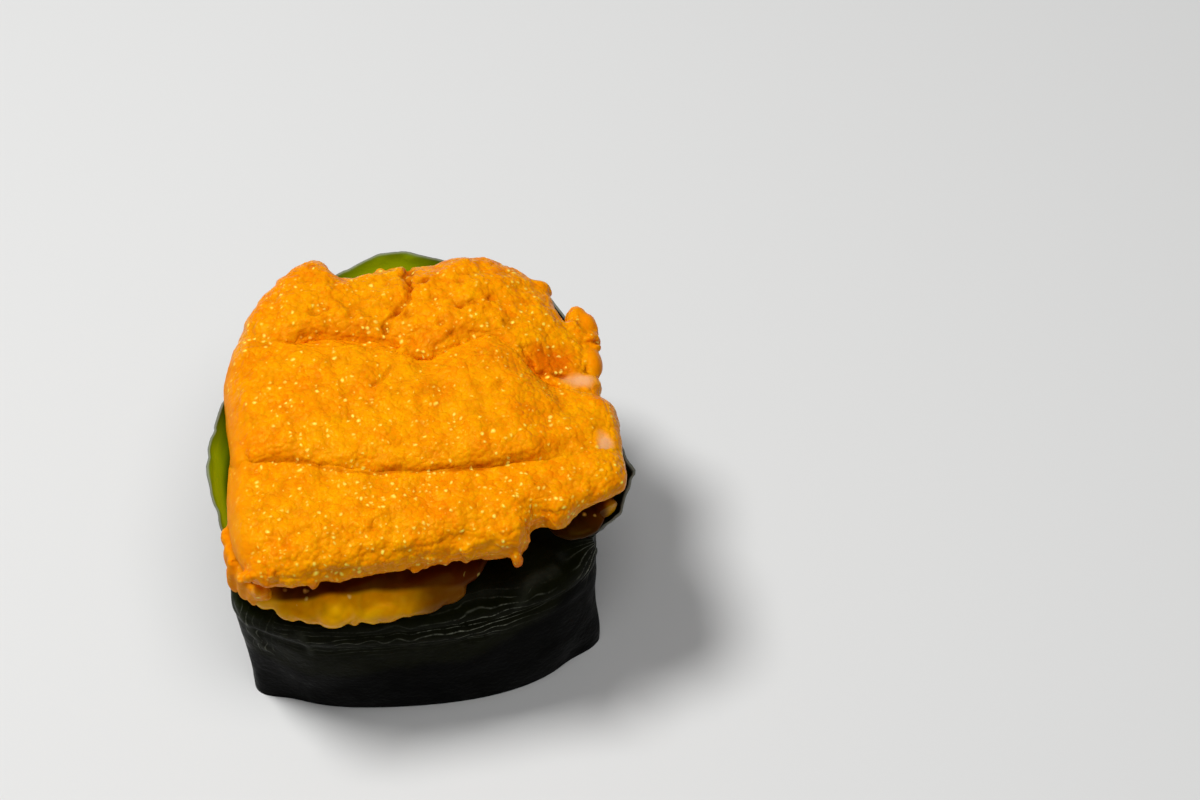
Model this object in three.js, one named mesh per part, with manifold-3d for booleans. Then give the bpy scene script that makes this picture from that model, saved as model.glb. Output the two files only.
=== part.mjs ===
// Sea urchin gunkan: three tongues of roe over two lower pieces, on rice with a band of nori round it.
// Millimetres; x runs along the tongues, +y to the back, +z up, the nori and the rice stand on z = 0.
import * as THREE from 'three';
import Module from 'manifold-3d';

const wasm = await Module();
wasm.setup();

const degree = Math.PI / 180;
const clearance = 0.3;          // air left between two pieces that touch

// The nori is one strip that goes once round the rice and laps over its own start at the front.
const strip = {
  width: 29,                    // along the wall, from the foot to the free rim
  thickness: 0.5,
  startAngle: -68,              // the inner end lies behind the front wall
  turn: 390,                    // so the outer end comes to the right front corner
  columnStep: 6,                // degrees from one upright line of the surface to the next
  rows: 13,
  creaseShare: 0.66,            // how far up the strip the crease lies
  flapLift: 1.7,                // how far the foot of the outer end stands off
};

// Half-plane outlines: each side faces `toward` degrees and lies `reach` mm from the middle. The
// corner at the left front stands out by `rise`.
const footSides = [
  { toward: -96, reach: 21.7 },
  { toward: -57, reach: 24.5 },
  { toward: 0, reach: 19.8 },
  { toward: 90, reach: 20.6 },
  { toward: 145, reach: 24.6 },
  { toward: 180, reach: 22.6 },
];
const footCorner = { angle: -144, spread: 6, rise: 2.2 };
const creaseSides = [
  { toward: -93, reach: 23.7 },
  { toward: -65, reach: 25.8 },
  { toward: 0, reach: 20.4 },
  { toward: 90, reach: 22.8 },
  { toward: 145, reach: 25.4 },
  { toward: 180, reach: 23.9 },
];
const creaseCorner = { angle: -145, spread: 7.5, rise: 1.8 };
const squareness = 5;
const wallBulge = { tilt: 5, cornerTilt: -4, spread: 12 };       // degrees out at the foot, in at the crease

// Above the crease the strip leans out, but at the front it folds in under the roe.
const lean = { left: 5, right: 8, back: 12, frontFold: -78 };
const flares = [
  { angle: -26, spread: 12, lean: 28 },          // the tip at the right front
  { angle: 191, spread: 19, lean: 9.5 },         // the bulge of the left side
];
const foldFrom = { start: -158, end: -132 };     // left front corner, where the fold sets in
const foldTo = { start: -50, end: -34 };         // right front corner, where it comes out again
const rimWaves = [
  { angle: 92, spread: 13, rise: 2.4 },          // bump in the middle of the back
  { angle: 36, spread: 26, rise: -5 },           // low corner at the right back
  { angle: -147, spread: 15, rise: -7.5 },       // crumpled down at the left front corner
  { angle: -38, spread: 5.5, rise: -7 },         // and in the neck at the right front corner
  { angle: -27, spread: 8, rise: -2.5 },         // lower beside the neck
];

// On the underside the pressed grains lie in rings, each grain over two (outside) or four columns.
const rice = {
  columns: 36,
  wallRows: 4,
  grainRings: 7,
  domeRings: 6,
  edgeHeight: 17.2,
  edgeRadius: 0.9,
  domeRise: 2.6,
  groove: 0.6,
};

// Tongues run along x. A station is [x, front y, back y, bottom z, top z].
const backTongue = {
  stations: [
    [-20.8, 8.8, 15.0, 25.2, 31.0],
    [-17.0, 12.4, 20.2, 25.2, 32.8],
    [-11.4, 11.8, 24.6, 25.2, 33.8],
    [-7.0, 11.0, 21.2, 25.2, 33.4],
    [-1.0, 9.4, 22.4, 25.2, 33.4],
    [2.5, 6.6, 21.8, 25.2, 33.8],
    [8.0, 8.2, 22.6, 25.2, 34.2],
    [12.0, 5.6, 21.8, 25.2, 33.6],
    [14.6, 2.8, 20.4, 25.2, 32.8],
    [17.4, 0.4, 17.4, 25.2, 32.0],
    [18.6, 0.0, 13.4, 25.4, 31.6],
    [19.8, -0.2, 11.0, 25.6, 31.2],
    [21.9, -0.6, 9.4, 26.4, 30.6],
  ],
  frontSquareness: 3.4,
  backSquareness: 2.7,
  endRounding: 0.07,
};
const middleTongue = {
  stations: [
    [-22.9, -3.6, 8.6, 25.2, 31.4],
    [-19.6, -4.6, 12.0, 25.2, 32.6],
    [-12.0, -7.0, 12.2, 25.2, 33.2],
    [-4.0, -9.0, 10.6, 25.2, 33.4],
    [2.0, -9.8, 6.8, 25.2, 33.4],
    [7.0, -9.8, 8.8, 25.2, 34.0],
    [11.6, -9.3, 8.6, 25.2, 33.8],
    [14.6, -9.0, 2.2, 25.3, 32.8],
    [18.0, -8.8, 0.4, 25.6, 32.0],
    [23.4, -8.2, -1.6, 26.6, 31.4],
  ],
  frontSquareness: 3.4,
  backSquareness: 3.0,
  endRounding: 0.09,
};
const frontTongue = {
  stations: [
    [-24.3, -14.4, -3.6, 24.8, 29.8],
    [-22.8, -17.8, -4.4, 24.8, 30.8],
    [-20.8, -20.7, -4.8, 24.9, 31.1],
    [-18.6, -22.0, -5.4, 25.0, 31.4],
    [-12.0, -21.6, -7.2, 25.1, 31.8],
    [-3.0, -21.2, -9.2, 25.2, 31.8],
    [4.0, -20.6, -10.0, 25.2, 31.8],
    [9.4, -21.2, -9.6, 25.2, 31.8],
    [11.2, -17.8, -9.5, 25.3, 31.8],
    [14.4, -18.6, -9.2, 25.6, 31.7],
    [16.6, -16.6, -8.9, 25.8, 31.6],
    [18.6, -15.2, -8.8, 25.8, 31.5],
    [23.4, -13.4, -8.2, 26.0, 31.0],
  ],
  frontSquareness: 2.3,
  backSquareness: 3.4,
  endRounding: 0.07,
};

// The lower pieces are pillows with rounded outlines, seen below the tongues at the front corners.
const leftPillow = {
  centre: [-9, -2.5],
  sides: [
    { toward: -92, reach: 18.8 },
    { toward: 0, reach: 16.0 },
    { toward: 90, reach: 21.0 },
    { toward: 180, reach: 14.6 },
  ],
  bottom: 19.8,
  top: 24.5,
};
const rightPillow = {
  centre: [15, 1.5],
  sides: [
    { toward: -125, reach: 14.2 },
    { toward: -62, reach: 16.6 },
    { toward: 0, reach: 8.2 },
    { toward: 90, reach: 16.4 },
    { toward: 180, reach: 8.0 },
  ],
  bottom: 20.2,
  top: 24.6,
};

// Small lobes that hang from the pieces or stand out of them: centre and half sizes.
const popcorn = [
  { at: [21.0, 12.2, 29.2], half: [1.3, 2.2, 1.7] },
  { at: [21.9, 10.6, 29.3], half: [1.3, 2.3, 1.7] },
  { at: [21.5, 4.9, 29.4], half: [1.5, 2.4, 1.7] },
  { at: [20.4, 1.8, 29.2], half: [2.0, 1.8, 1.9] },
  { at: [16.6, 16.6, 30.2], half: [1.9, 1.6, 1.7] },
];
const frontHanging = [
  { at: [9.2, -21.5, 27.0], half: [0.8, 0.9, 1.5] },         // tooth
  { at: [-23.4, -16.4, 24.4], half: [1.3, 2.2, 3.0] },       // curtain at the left corner
  { at: [-21.6, -18.8, 23.8], half: [1.8, 1.4, 2.4] },
];
const cornerFringe = [
  { at: [-22.4, -14.6, 22.4], half: [1.6, 2.4, 2.4] },
  { at: [-17.6, -20.0, 21.1], half: [2.6, 2.0, 1.9] },
  { at: [-12.6, -21.0, 21.4], half: [4.0, 2.7, 2.4] },
  { at: [-6.0, -21.2, 21.2], half: [5.0, 2.4, 2.2] },
  { at: [0.8, -20.4, 21.1], half: [4.6, 2.1, 2.0] },
];
const rightDrop = [
  { at: [21.4, -11.4, 24.2], half: [1.8, 1.6, 1.9] },
];

const looks = {
  roe: { color: 0xf69b0a, roughness: 0.32 },
  lowerRoe: { color: 0xe09210, roughness: 0.34 },
  nori: { color: 0x0f130b, roughness: 0.42 },
  rice: { color: 0xe9e4d4, roughness: 0.55 },
};

const mix = (a, b, share) => a + (b - a) * share;

function smooth(from, to, value) {
  const share = Math.min(1, Math.max(0, (value - from) / (to - from)));
  return share * share * (3 - 2 * share);
}

const hump = (distance, spread) => Math.exp(-((distance / spread) ** 2));

// Difference of two directions in degrees, between -180 and 180.
const turnBetween = (a, b) => ((((a - b) % 360) + 540) % 360) - 180;

// Distance from the middle to a rounded outline in one direction.
function outlineRadius(angle, sides, power = squareness) {
  let sum = 0;
  for (const side of sides) {
    const facing = Math.cos((angle - side.toward) * degree) / side.reach;
    if (facing > 0) sum += facing ** power;
  }
  return sum ** (-1 / power);
}

// Distance from the middle to the foot and to the crease of the nori in one direction.
function cornered(angle, sides, corner) {
  return outlineRadius(angle, sides) + corner.rise * hump(turnBetween(angle, corner.angle), corner.spread);
}

const footRadius = (angle) => cornered(angle, footSides, footCorner);
const creaseRadius = (angle) => cornered(angle, creaseSides, creaseCorner);

// Low, uneven swelling of the roe at any place, between about -1 and 1.
function swelling(x, y, z) {
  const broad = Math.sin(0.83 * x + 1.3 * Math.sin(0.52 * y + 0.7)) * Math.sin(0.71 * y + 0.4 * z + 0.35 * x);
  const fine = Math.sin(1.57 * x - 0.62 * y + 1.1) * Math.sin(1.38 * y + 0.83 * x + 0.9 * z);
  return 0.65 * broad + 0.35 * fine;
}

// Value of one column of a station table at x, as a smooth curve through the stations.
function along(stations, column, x) {
  const last = stations.length - 1;
  let k = 0;
  while (k < last - 1 && x > stations[k + 1][0]) k += 1;
  const [before, a, b, after] = [Math.max(0, k - 1), k, k + 1, Math.min(last, k + 2)];
  const slope = (i, j) => (stations[j][column] - stations[i][column]) / (stations[j][0] - stations[i][0]);
  const length = stations[b][0] - stations[a][0];
  const t = Math.min(1, Math.max(0, (x - stations[a][0]) / length));
  const slopeA = slope(before, b) * length;
  const slopeB = slope(a, after) * length;
  const rise = stations[b][column] - stations[a][column];
  const start = stations[a][column];
  return start + slopeA * t + (3 * rise - 2 * slopeA - slopeB) * t * t
    + (slopeA + slopeB - 2 * rise) * t * t * t;
}

const power = (value, exponent) => Math.sign(value) * Math.abs(value) ** exponent;

function toManifold(points, faces) {
  const mesh = new wasm.Mesh({
    numProp: 3,
    vertProperties: new Float32Array(points.flat()),
    triVerts: new Uint32Array(faces.flat()),
  });
  return new wasm.Manifold(mesh);
}

// Closed skin over rings of points, with one point at each end; each ring turns right-handed
// about the way from the first end to the last.
function skinRings(firstPole, rings, lastPole) {
  const count = rings[0].length;
  const points = [firstPole, ...rings.flat(), lastPole];
  const lastIndex = points.length - 1;
  const at = (ring, k) => 1 + ring * count + (k % count);
  const faces = [];
  for (let k = 0; k < count; k += 1) {
    faces.push([0, at(0, k + 1), at(0, k)]);
    faces.push([lastIndex, at(rings.length - 1, k), at(rings.length - 1, k + 1)]);
    for (let ring = 0; ring + 1 < rings.length; ring += 1) {
      faces.push([at(ring, k), at(ring, k + 1), at(ring + 1, k + 1)]);
      faces.push([at(ring, k), at(ring + 1, k + 1), at(ring + 1, k)]);
    }
  }
  return toManifold(points, faces);
}

// Tongue: a superellipse section carried along x, with rounded ends and a swelling skin.
function makeTongue({ stations, frontSquareness, backSquareness, endRounding }, grow = 0) {
  const sections = 30;
  const around = 18;
  const swell = 0.35;
  const startX = stations[0][0] - grow;
  const endX = stations[stations.length - 1][0] + grow;
  const section = (x, fullness) => {
    const front = along(stations, 1, x) - grow;
    const back = along(stations, 2, x) + grow;
    const bottom = along(stations, 3, x) - grow;
    const top = along(stations, 4, x) + grow;
    const ring = [];
    for (let k = 0; k < around; k += 1) {
      const angle = (2 * Math.PI * k) / around;
      const c = Math.cos(angle);
      const s = Math.sin(angle);
      const exponent = 2 / (c > 0 ? backSquareness : frontSquareness);
      const y = (front + back) / 2 + ((back - front) / 2) * power(c, exponent) * fullness;
      const z = (top + bottom) / 2 + ((top - bottom) / 2) * power(s, exponent) * fullness;
      const lift = swell * swelling(x, y, z) * fullness;
      ring.push([x, y + lift * c, z + lift * Math.max(0, s)]);
    }
    return ring;
  };
  const middle = (x) => [
    x,
    (along(stations, 1, x) + along(stations, 2, x)) / 2,
    (along(stations, 3, x) + along(stations, 4, x)) / 2,
  ];
  const rings = [];
  for (let i = 1; i < sections; i += 1) {
    const even = i / sections;
    const share = mix(even, (1 - Math.cos(Math.PI * even)) / 2, 0.6);
    const toEnd = Math.min(share, 1 - share) / endRounding;
    const fullness = toEnd < 1 ? (1 - (1 - toEnd) ** 2.4) ** (1 / 2.4) : 1;
    rings.push(section(mix(startX, endX, share), fullness));
  }
  return skinRings(middle(startX), rings, middle(endX));
}

// Pillow: rounded outline whose edge bulges between a bottom and a top height.
function makePillow({ centre, sides, bottom, top }, grow = 0) {
  const columns = 28;
  const rows = 9;
  const swell = 0.3;
  const midZ = (bottom + top) / 2;
  const half = (top - bottom) / 2 + grow;
  const rings = [];
  for (let row = 1; row < rows; row += 1) {
    const tilt = Math.PI * (row / rows - 0.5);
    const ring = [];
    for (let k = 0; k < columns; k += 1) {
      const angle = (360 * k) / columns;
      const reach = (outlineRadius(angle, sides) + grow) * Math.cos(tilt) ** 0.55;
      const x = centre[0] + reach * Math.cos(angle * degree);
      const y = centre[1] + reach * Math.sin(angle * degree);
      const z = midZ + half * power(Math.sin(tilt), 0.75);
      const lift = swell * swelling(x, y, z);
      ring.push([x + lift * Math.cos(angle * degree), y + lift * Math.sin(angle * degree), z + lift]);
    }
    rings.push(ring);
  }
  return skinRings([...centre, midZ - half], rings, [...centre, midZ + half]);
}

// Small smooth lobe.
function makeLobe({ at, half }, grow = 0) {
  const columns = 8;
  const rows = 6;
  const rings = [];
  for (let row = 1; row < rows; row += 1) {
    const tilt = Math.PI * (row / rows - 0.5);
    const ring = [];
    for (let k = 0; k < columns; k += 1) {
      const angle = (2 * Math.PI * k) / columns;
      ring.push([
        at[0] + (half[0] + grow) * Math.cos(tilt) * Math.cos(angle),
        at[1] + (half[1] + grow) * Math.cos(tilt) * Math.sin(angle),
        at[2] + (half[2] + grow) * Math.sin(tilt),
      ]);
    }
    rings.push(ring);
  }
  const reach = half[2] + grow;
  return skinRings([at[0], at[1], at[2] - reach], rings, [at[0], at[1], at[2] + reach]);
}

function fuseLobes(body, lobes, grow = 0) {
  return lobes.reduce((whole, lobe) => whole.add(makeLobe(lobe, grow)), body);
}

// How the strip stands in one direction: lean above the crease, height of the crease, strip width.
function standing(angle) {
  const c = Math.cos(angle * degree);
  const s = Math.sin(angle * degree);
  const out = lean.right * Math.max(0, c) ** 2 + lean.left * Math.max(0, -c) ** 2
    + lean.back * Math.max(0, s) ** 2;
  const signed = turnBetween(angle, 0);
  const fold = smooth(foldFrom.start, foldFrom.end, signed) * (1 - smooth(foldTo.start, foldTo.end, signed));
  const width = rimWaves.reduce(
    (sum, wave) => sum + wave.rise * hump(turnBetween(angle, wave.angle), wave.spread),
    strip.width,
  );
  const flared = flares.reduce(
    (sum, flare) => sum + flare.lean * hump(turnBetween(angle, flare.angle), flare.spread),
    out,
  );
  return { tilt: mix(flared, lean.frontFold, fold), fold, width };
}

// Middle surface of the strip: goes up from the foot by short steps, turning at the crease. With
// `beyond`, one more point lies that far past the free rim.
function stripProfile(angle, beyond = 0) {
  const { tilt, fold, width } = standing(angle);
  const foot = footRadius(angle);
  const crease = creaseRadius(angle);
  const creaseLength = strip.width * strip.creaseShare;
  const lowerTilt = Math.asin((crease - foot) / creaseLength) / degree;
  const nearCorner = hump(turnBetween(angle, footCorner.angle), wallBulge.spread);
  const bulge = mix(wallBulge.tilt, wallBulge.cornerTilt, nearCorner);
  const steps = 120;
  const profile = [[foot, 0]];
  let radius = foot;
  let height = 0;
  for (let step = 0; step < steps; step += 1) {
    const length = ((step + 0.5) / steps) * width;
    const up = length / creaseLength;
    const bend = smooth(creaseLength - 1.2, creaseLength + 1.6, length);
    const crumple = fold * 26 * Math.sin(2.1 * length + 0.05 * angle) * hump(length - creaseLength + 2.4, 2.2);
    const wallTilt = lowerTilt + bulge * (1 - 2 * Math.min(1, up));
    const now = (mix(wallTilt, tilt, bend) + crumple) * degree;
    radius += Math.sin(now) * (width / steps);
    height += Math.cos(now) * (width / steps);
    profile.push([radius, height]);
  }
  const chosen = [];
  for (let row = 0; row <= strip.rows; row += 1) {
    chosen.push(profile[Math.round((row / strip.rows) * steps)]);
  }
  if (beyond > 0) {
    chosen.push([radius + Math.sin(tilt * degree) * beyond, height + Math.cos(tilt * degree) * beyond]);
  }
  return chosen.map(([r, z]) => [r * Math.cos(angle * degree), r * Math.sin(angle * degree), z]);
}

// Outward normals of the middle surface along one upright line of it.
function stripNormals(angle, beyond) {
  const line = stripProfile(angle, beyond);
  const before = stripProfile(angle - 0.6, beyond);
  const after = stripProfile(angle + 0.6, beyond);
  return line.map((point, row) => {
    const low = line[Math.max(0, row - 1)];
    const high = line[Math.min(line.length - 1, row + 1)];
    const upward = new THREE.Vector3(...high).sub(new THREE.Vector3(...low));
    const sideways = new THREE.Vector3(...after[row]).sub(new THREE.Vector3(...before[row]));
    return sideways.cross(upward).normalize();
  });
}

// One upright line of the strip, moved outwards along its normals by an amount for each height.
function stripLine(angle, offsetOf, beyond = 0) {
  const normals = stripNormals(angle, beyond);
  return stripProfile(angle, beyond).map((point, row) => {
    const offset = offsetOf(row / strip.rows);
    return new THREE.Vector3(...point).addScaledVector(normals[row], offset).toArray();
  });
}

const layerStep = strip.thickness + clearance;
const lapStart = 360 / strip.turn;      // share of the length where the strip meets its own start

// The strip eases outwards before the lap, to clear its own first layer.
const easedOut = (share) => layerStep * smooth(lapStart - 0.2, lapStart, share);

// How far the middle of the strip lies outside its first layer, at a share of its length and height.
function layerOffset(share, up) {
  const flap = smooth(0.965, 1, share) ** 1.5 * (1 - smooth(0, 0.55, up));
  return easedOut(share) + strip.flapLift * flap;
}

function makeNori() {
  const { startAngle, turn, columnStep, thickness } = strip;
  const rings = [];
  for (let turned = 0; turned <= turn; turned += columnStep) {
    const offsetOf = (side) => (up) => layerOffset(turned / turn, up) + (side * thickness) / 2;
    const outer = stripLine(startAngle + turned, offsetOf(1));
    const inner = stripLine(startAngle + turned, offsetOf(-1));
    outer[0][2] = 0;
    inner[0][2] = 0;
    rings.push([...outer, ...inner.reverse()]);     // up the outer face and down the inner face
  }
  return skinStrip(rings);
}

// Two triangles for each cell between neighbouring rings; a closed tube also joins last to first.
function ringFaces(ringCount, count, closed) {
  const at = (ring, k) => (ring % ringCount) * count + (k % count);
  const faces = [];
  for (let ring = 0; ring < ringCount - (closed ? 0 : 1); ring += 1) {
    for (let k = 0; k < count; k += 1) {
      faces.push([at(ring, k), at(ring + 1, k), at(ring + 1, k + 1)]);
      faces.push([at(ring, k), at(ring + 1, k + 1), at(ring, k + 1)]);
    }
  }
  return faces;
}

// Closed skin of the strip: its first and last ring are filled between outer and inner face.
function skinStrip(rings) {
  const count = rings[0].length;
  const faces = ringFaces(rings.length, count, false);
  const end = (rings.length - 1) * count;
  for (let k = 0; k + 1 < count / 2; k += 1) {
    const mate = count - 1 - k;
    faces.push([k, k + 1, mate], [k + 1, mate - 1, mate]);
    faces.push([end + k, end + mate, end + k + 1], [end + k + 1, end + mate, end + mate - 1]);
  }
  return toManifold(rings.flat(), faces);
}

// The room the nori takes with air all round, as a closed ring, for cutting the other pieces.
function makeNoriRoom() {
  const { startAngle, turn, columnStep, thickness } = strip;
  const reach = thickness / 2 + clearance;
  const rings = [];
  for (let turned = 0; turned < 360; turned += columnStep) {
    const lapped = 1 - smooth(turn - 360, turn - 360 + 2 * columnStep, turned);
    const outside = reach + Math.max(easedOut(turned / turn), layerStep * lapped);
    const outer = stripLine(startAngle + turned, () => outside, clearance);
    const inner = stripLine(startAngle + turned, () => -reach, clearance);
    outer[0][2] = -1;
    inner[0][2] = -1;
    rings.push([...outer, ...inner.reverse()]);
  }
  return toManifold(rings.flat(), ringFaces(rings.length, rings[0].length, true));
}

// All that lies outside the wall and below its rim, where no tongue may hang.
function makeOutside() {
  const { startAngle, columnStep, thickness } = strip;
  const farOut = 34;
  const rings = [];
  for (let turned = 0; turned < 360; turned += columnStep) {
    const angle = startAngle + turned;
    const inner = stripLine(angle, () => -thickness / 2 - clearance, clearance);
    inner[0][2] = -1;
    const rimHeight = inner[inner.length - 1][2];
    const [x, y] = [farOut * Math.cos(angle * degree), farOut * Math.sin(angle * degree)];
    rings.push([[x, y, -1], [x, y, rimHeight], ...inner.reverse()]);
  }
  return toManifold(rings.flat(), ringFaces(rings.length, rings[0].length, true));
}

// Underside of the rice at half-ring `step` and one column: 0 on a grain, the groove depth between two.
function grainFurrow(step, column) {
  if (step <= 2) return 0;
  const ring = Math.ceil(step / 2);
  const share = ring > rice.grainRings / 2 ? 2 : 4;
  const betweenRings = step % 2 === 1;
  const betweenGrains = (column + ring) % share === 0;
  return betweenRings || betweenGrains ? rice.groove : 0;
}

// Rice: stands inside the nori up to a low dome, its underside pressed flat with furrows.
function makeRice() {
  const gapToNori = strip.thickness / 2 + clearance + 0.15;
  const circle = (heightShare, inset, heightOf) => {
    const ring = [];
    for (let column = 0; column < rice.columns; column += 1) {
      const angle = (360 * column) / rice.columns;
      const foot = footRadius(angle);
      const crease = creaseRadius(angle);
      const radius = (mix(foot, crease, heightShare * 0.9) - gapToNori) * inset;
      const x = radius * Math.cos(angle * degree);
      const y = radius * Math.sin(angle * degree);
      ring.push([x, y, heightOf(column, x, y)]);
    }
    return ring;
  };
  const rings = [];
  const halfRings = 2 * rice.grainRings;
  for (let step = 1; step <= halfRings; step += 1) {
    rings.push(circle(0, (step / (halfRings + 1)) ** 0.9, (column) => grainFurrow(step, column)));
  }
  for (let i = 0; i <= rice.wallRows; i += 1) {
    const share = i / rice.wallRows;
    rings.push(circle(share, 1, () => mix(rice.edgeRadius, rice.edgeHeight, share)));
  }
  for (let i = rice.domeRings - 1; i > 0; i -= 1) {
    const share = i / rice.domeRings;
    const z = rice.edgeHeight + rice.domeRise * (1 - share ** 4);
    rings.push(circle(1, share, (column, x, y) => z + 0.25 * swelling(x, y, 0)));
  }
  return skinRings([0, 0, 0], rings, [0, 0, rice.edgeHeight + rice.domeRise]);
}

// The largest body left after a cut; loose scraps are dropped.
function largest(body) {
  const bodies = body.decompose();
  return bodies.reduce((best, next) => (next.volume() > best.volume() ? next : best));
}

function toMesh(name, body, { color, roughness }) {
  const source = body.getMesh();
  const geometry = new THREE.BufferGeometry();
  geometry.setAttribute('position', new THREE.BufferAttribute(new Float32Array(source.vertProperties), 3));
  geometry.setIndex(new THREE.BufferAttribute(new Uint32Array(source.triVerts), 1));
  geometry.computeVertexNormals();
  const mesh = new THREE.Mesh(geometry, new THREE.MeshStandardMaterial({ color, roughness, metalness: 0 }));
  mesh.name = name;
  return mesh;
}

const nori = makeNori();
const noriRoom = makeNoriRoom();
const frontWhole = fuseLobes(makeTongue(frontTongue), frontHanging);
const frontRoom = fuseLobes(makeTongue(frontTongue, clearance), frontHanging, clearance);
const middleRoom = makeTongue(middleTongue, clearance).add(frontRoom);
const backWhole = fuseLobes(makeTongue(backTongue), popcorn);
const backRoom = fuseLobes(makeTongue(backTongue, clearance), popcorn, clearance);

const outside = makeOutside();
const front = largest(frontWhole.subtract(outside));
const middle = largest(makeTongue(middleTongue).subtract(frontRoom).subtract(outside));
const back = largest(backWhole.subtract(middleRoom).subtract(outside));

const above = middleRoom.add(backRoom).add(noriRoom);
const leftWhole = fuseLobes(makePillow(leftPillow), cornerFringe);
const leftRoom = makePillow(leftPillow, clearance);
const lowerLeft = largest(leftWhole.subtract(above));
const rightWhole = fuseLobes(makePillow(rightPillow), rightDrop);
const lowerRight = largest(rightWhole.subtract(above).subtract(leftRoom));
const pillowRoom = leftRoom.add(makePillow(rightPillow, clearance));
const riceBody = largest(makeRice().subtract(noriRoom).subtract(pillowRoom));

const gunkan = new THREE.Group();
gunkan.name = 'sea_urchin_gunkan';
gunkan.add(toMesh('rice', riceBody, looks.rice));
gunkan.add(toMesh('nori', nori, looks.nori));
gunkan.add(toMesh('uni_lower_left', lowerLeft, looks.lowerRoe));
gunkan.add(toMesh('uni_lower_right', lowerRight, looks.lowerRoe));
gunkan.add(toMesh('uni_front', front, looks.roe));
gunkan.add(toMesh('uni_middle', middle, looks.roe));
gunkan.add(toMesh('uni_back', back, looks.roe));

export default gunkan;
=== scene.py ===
# Sea urchin gunkan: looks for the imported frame. The shape functions work in millimetres, with x along
# the tongues of roe, +y to the back and z = 0 at the foot; the meshes are in metres.
import math
import bpy
import numpy as np
from mathutils import Matrix


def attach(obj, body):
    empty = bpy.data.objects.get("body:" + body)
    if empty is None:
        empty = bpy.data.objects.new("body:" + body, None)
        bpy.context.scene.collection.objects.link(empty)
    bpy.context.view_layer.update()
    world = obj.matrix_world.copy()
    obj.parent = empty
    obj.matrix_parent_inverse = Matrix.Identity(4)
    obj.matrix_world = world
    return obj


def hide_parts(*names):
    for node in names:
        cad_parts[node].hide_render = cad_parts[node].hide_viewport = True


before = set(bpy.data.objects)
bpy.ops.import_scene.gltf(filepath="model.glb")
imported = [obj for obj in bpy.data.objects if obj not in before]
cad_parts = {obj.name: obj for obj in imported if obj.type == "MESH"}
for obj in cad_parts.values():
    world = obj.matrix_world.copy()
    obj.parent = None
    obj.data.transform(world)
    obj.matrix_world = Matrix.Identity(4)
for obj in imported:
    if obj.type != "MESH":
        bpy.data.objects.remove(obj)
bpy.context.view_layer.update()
metre = 0.001                    # one millimetre in metres
print("frame loaded:", len(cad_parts), "nodes")


def ramp(low, high, value):
    # 0 below low, 1 above high, with an S-shaped rise 3t^2 - 2t^3 between
    t = np.clip((value - low) / (high - low), 0, 1)
    return t * t * (3 - 2 * t)


def hump(distance, spread):
    # bell curve exp(-(distance / spread)^2)
    return np.exp(-((distance / spread) ** 2))


def blend(a, b, share):
    # a where share is 0, b where it is 1
    return a + (b - a) * share


def signedPower(value, exponent):
    # |value|^exponent with the sign of value
    return np.sign(value) * np.abs(value) ** exponent


def turnBetween(a, b):
    # difference of two directions in degrees, between -180 and 180
    return (a - b + 180) % 360 - 180


def swelling(x, y, z):
    # uneven swelling of the roe: product of two bent sine waves, broad and fine
    broad = np.sin(0.83 * x + 1.3 * np.sin(0.52 * y + 0.7)) * np.sin(0.71 * y + 0.4 * z + 0.35 * x)
    fine = np.sin(1.57 * x - 0.62 * y + 1.1) * np.sin(1.38 * y + 0.83 * x + 0.9 * z)
    return 0.65 * broad + 0.35 * fine


def outlineRadius(angle, sides, power=5):
    # rounded polygon: (sum of max(0, cos(angle - toward) / reach)^power)^(-1 / power)
    total = 0
    for toward, reach in sides:
        facing = np.cos(np.radians(angle - toward)) / reach
        total = total + np.where(facing > 0, facing, 0) ** power
    return total ** (-1 / power)


def cornered(angle, sides, corner):
    # rounded polygon with one corner (direction, spread, rise) that stands out as a bell
    return outlineRadius(angle, sides) + corner[2] * hump(turnBetween(angle, corner[0]), corner[1])


def along(stations, column, x):
    # smooth curve through the stations: cubic Hermite with slopes from the neighbours
    table = np.array(stations, float)
    last = len(table) - 1
    a = np.searchsorted(table[1:-1, 0], x)
    b = a + 1
    before, after = np.maximum(a - 1, 0), np.minimum(a + 2, last)
    length = table[b, 0] - table[a, 0]
    t = np.clip((x - table[a, 0]) / length, 0, 1)
    slopeA = (table[b, column] - table[before, column]) / (table[b, 0] - table[before, 0]) * length
    slopeB = (table[after, column] - table[a, column]) / (table[after, 0] - table[a, 0]) * length
    rise = table[b, column] - table[a, column]
    curve = slopeA * t + (3 * rise - 2 * slopeA - slopeB) * t ** 2 + (slopeA + slopeB - 2 * rise) * t ** 3
    return table[a, column] + curve


def latticeNumbers(cells, seed):
    # three even random numbers from 0 to 1 for each whole-numbered cell, by mixing its bits
    c = cells.astype(np.uint64)
    mask = np.uint64(0xFFFFFFFF)
    n = (c[..., 0] * np.uint64(73856093) ^ c[..., 1] * np.uint64(19349663)
         ^ c[..., 2] * np.uint64(83492791) ^ np.uint64(seed * 2654435761)) & mask
    numbers = []
    for _ in range(3):
        n = ((n ^ (n >> np.uint64(15))) * np.uint64(2246822519)) & mask
        n = ((n ^ (n >> np.uint64(13))) * np.uint64(3266489917)) & mask
        n = n ^ (n >> np.uint64(16))
        numbers.append(n.astype(float) / 4294967295.0)
    return np.stack(numbers, -1)


def lumps(points, size, seed):
    # value noise, -1 to 1: random heights on a lattice, blended with S-shaped shares
    place = points / size + 500
    cell = np.floor(place)
    t = place - cell
    t = t * t * (3 - 2 * t)
    total = 0
    for corner in np.ndindex(2, 2, 2):
        offset = np.array(corner)
        share = np.prod(np.where(offset == 1, t, 1 - t), -1)
        total = total + share * latticeNumbers(cell + offset, seed)[..., 0]
    return 2 * total - 1


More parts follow.
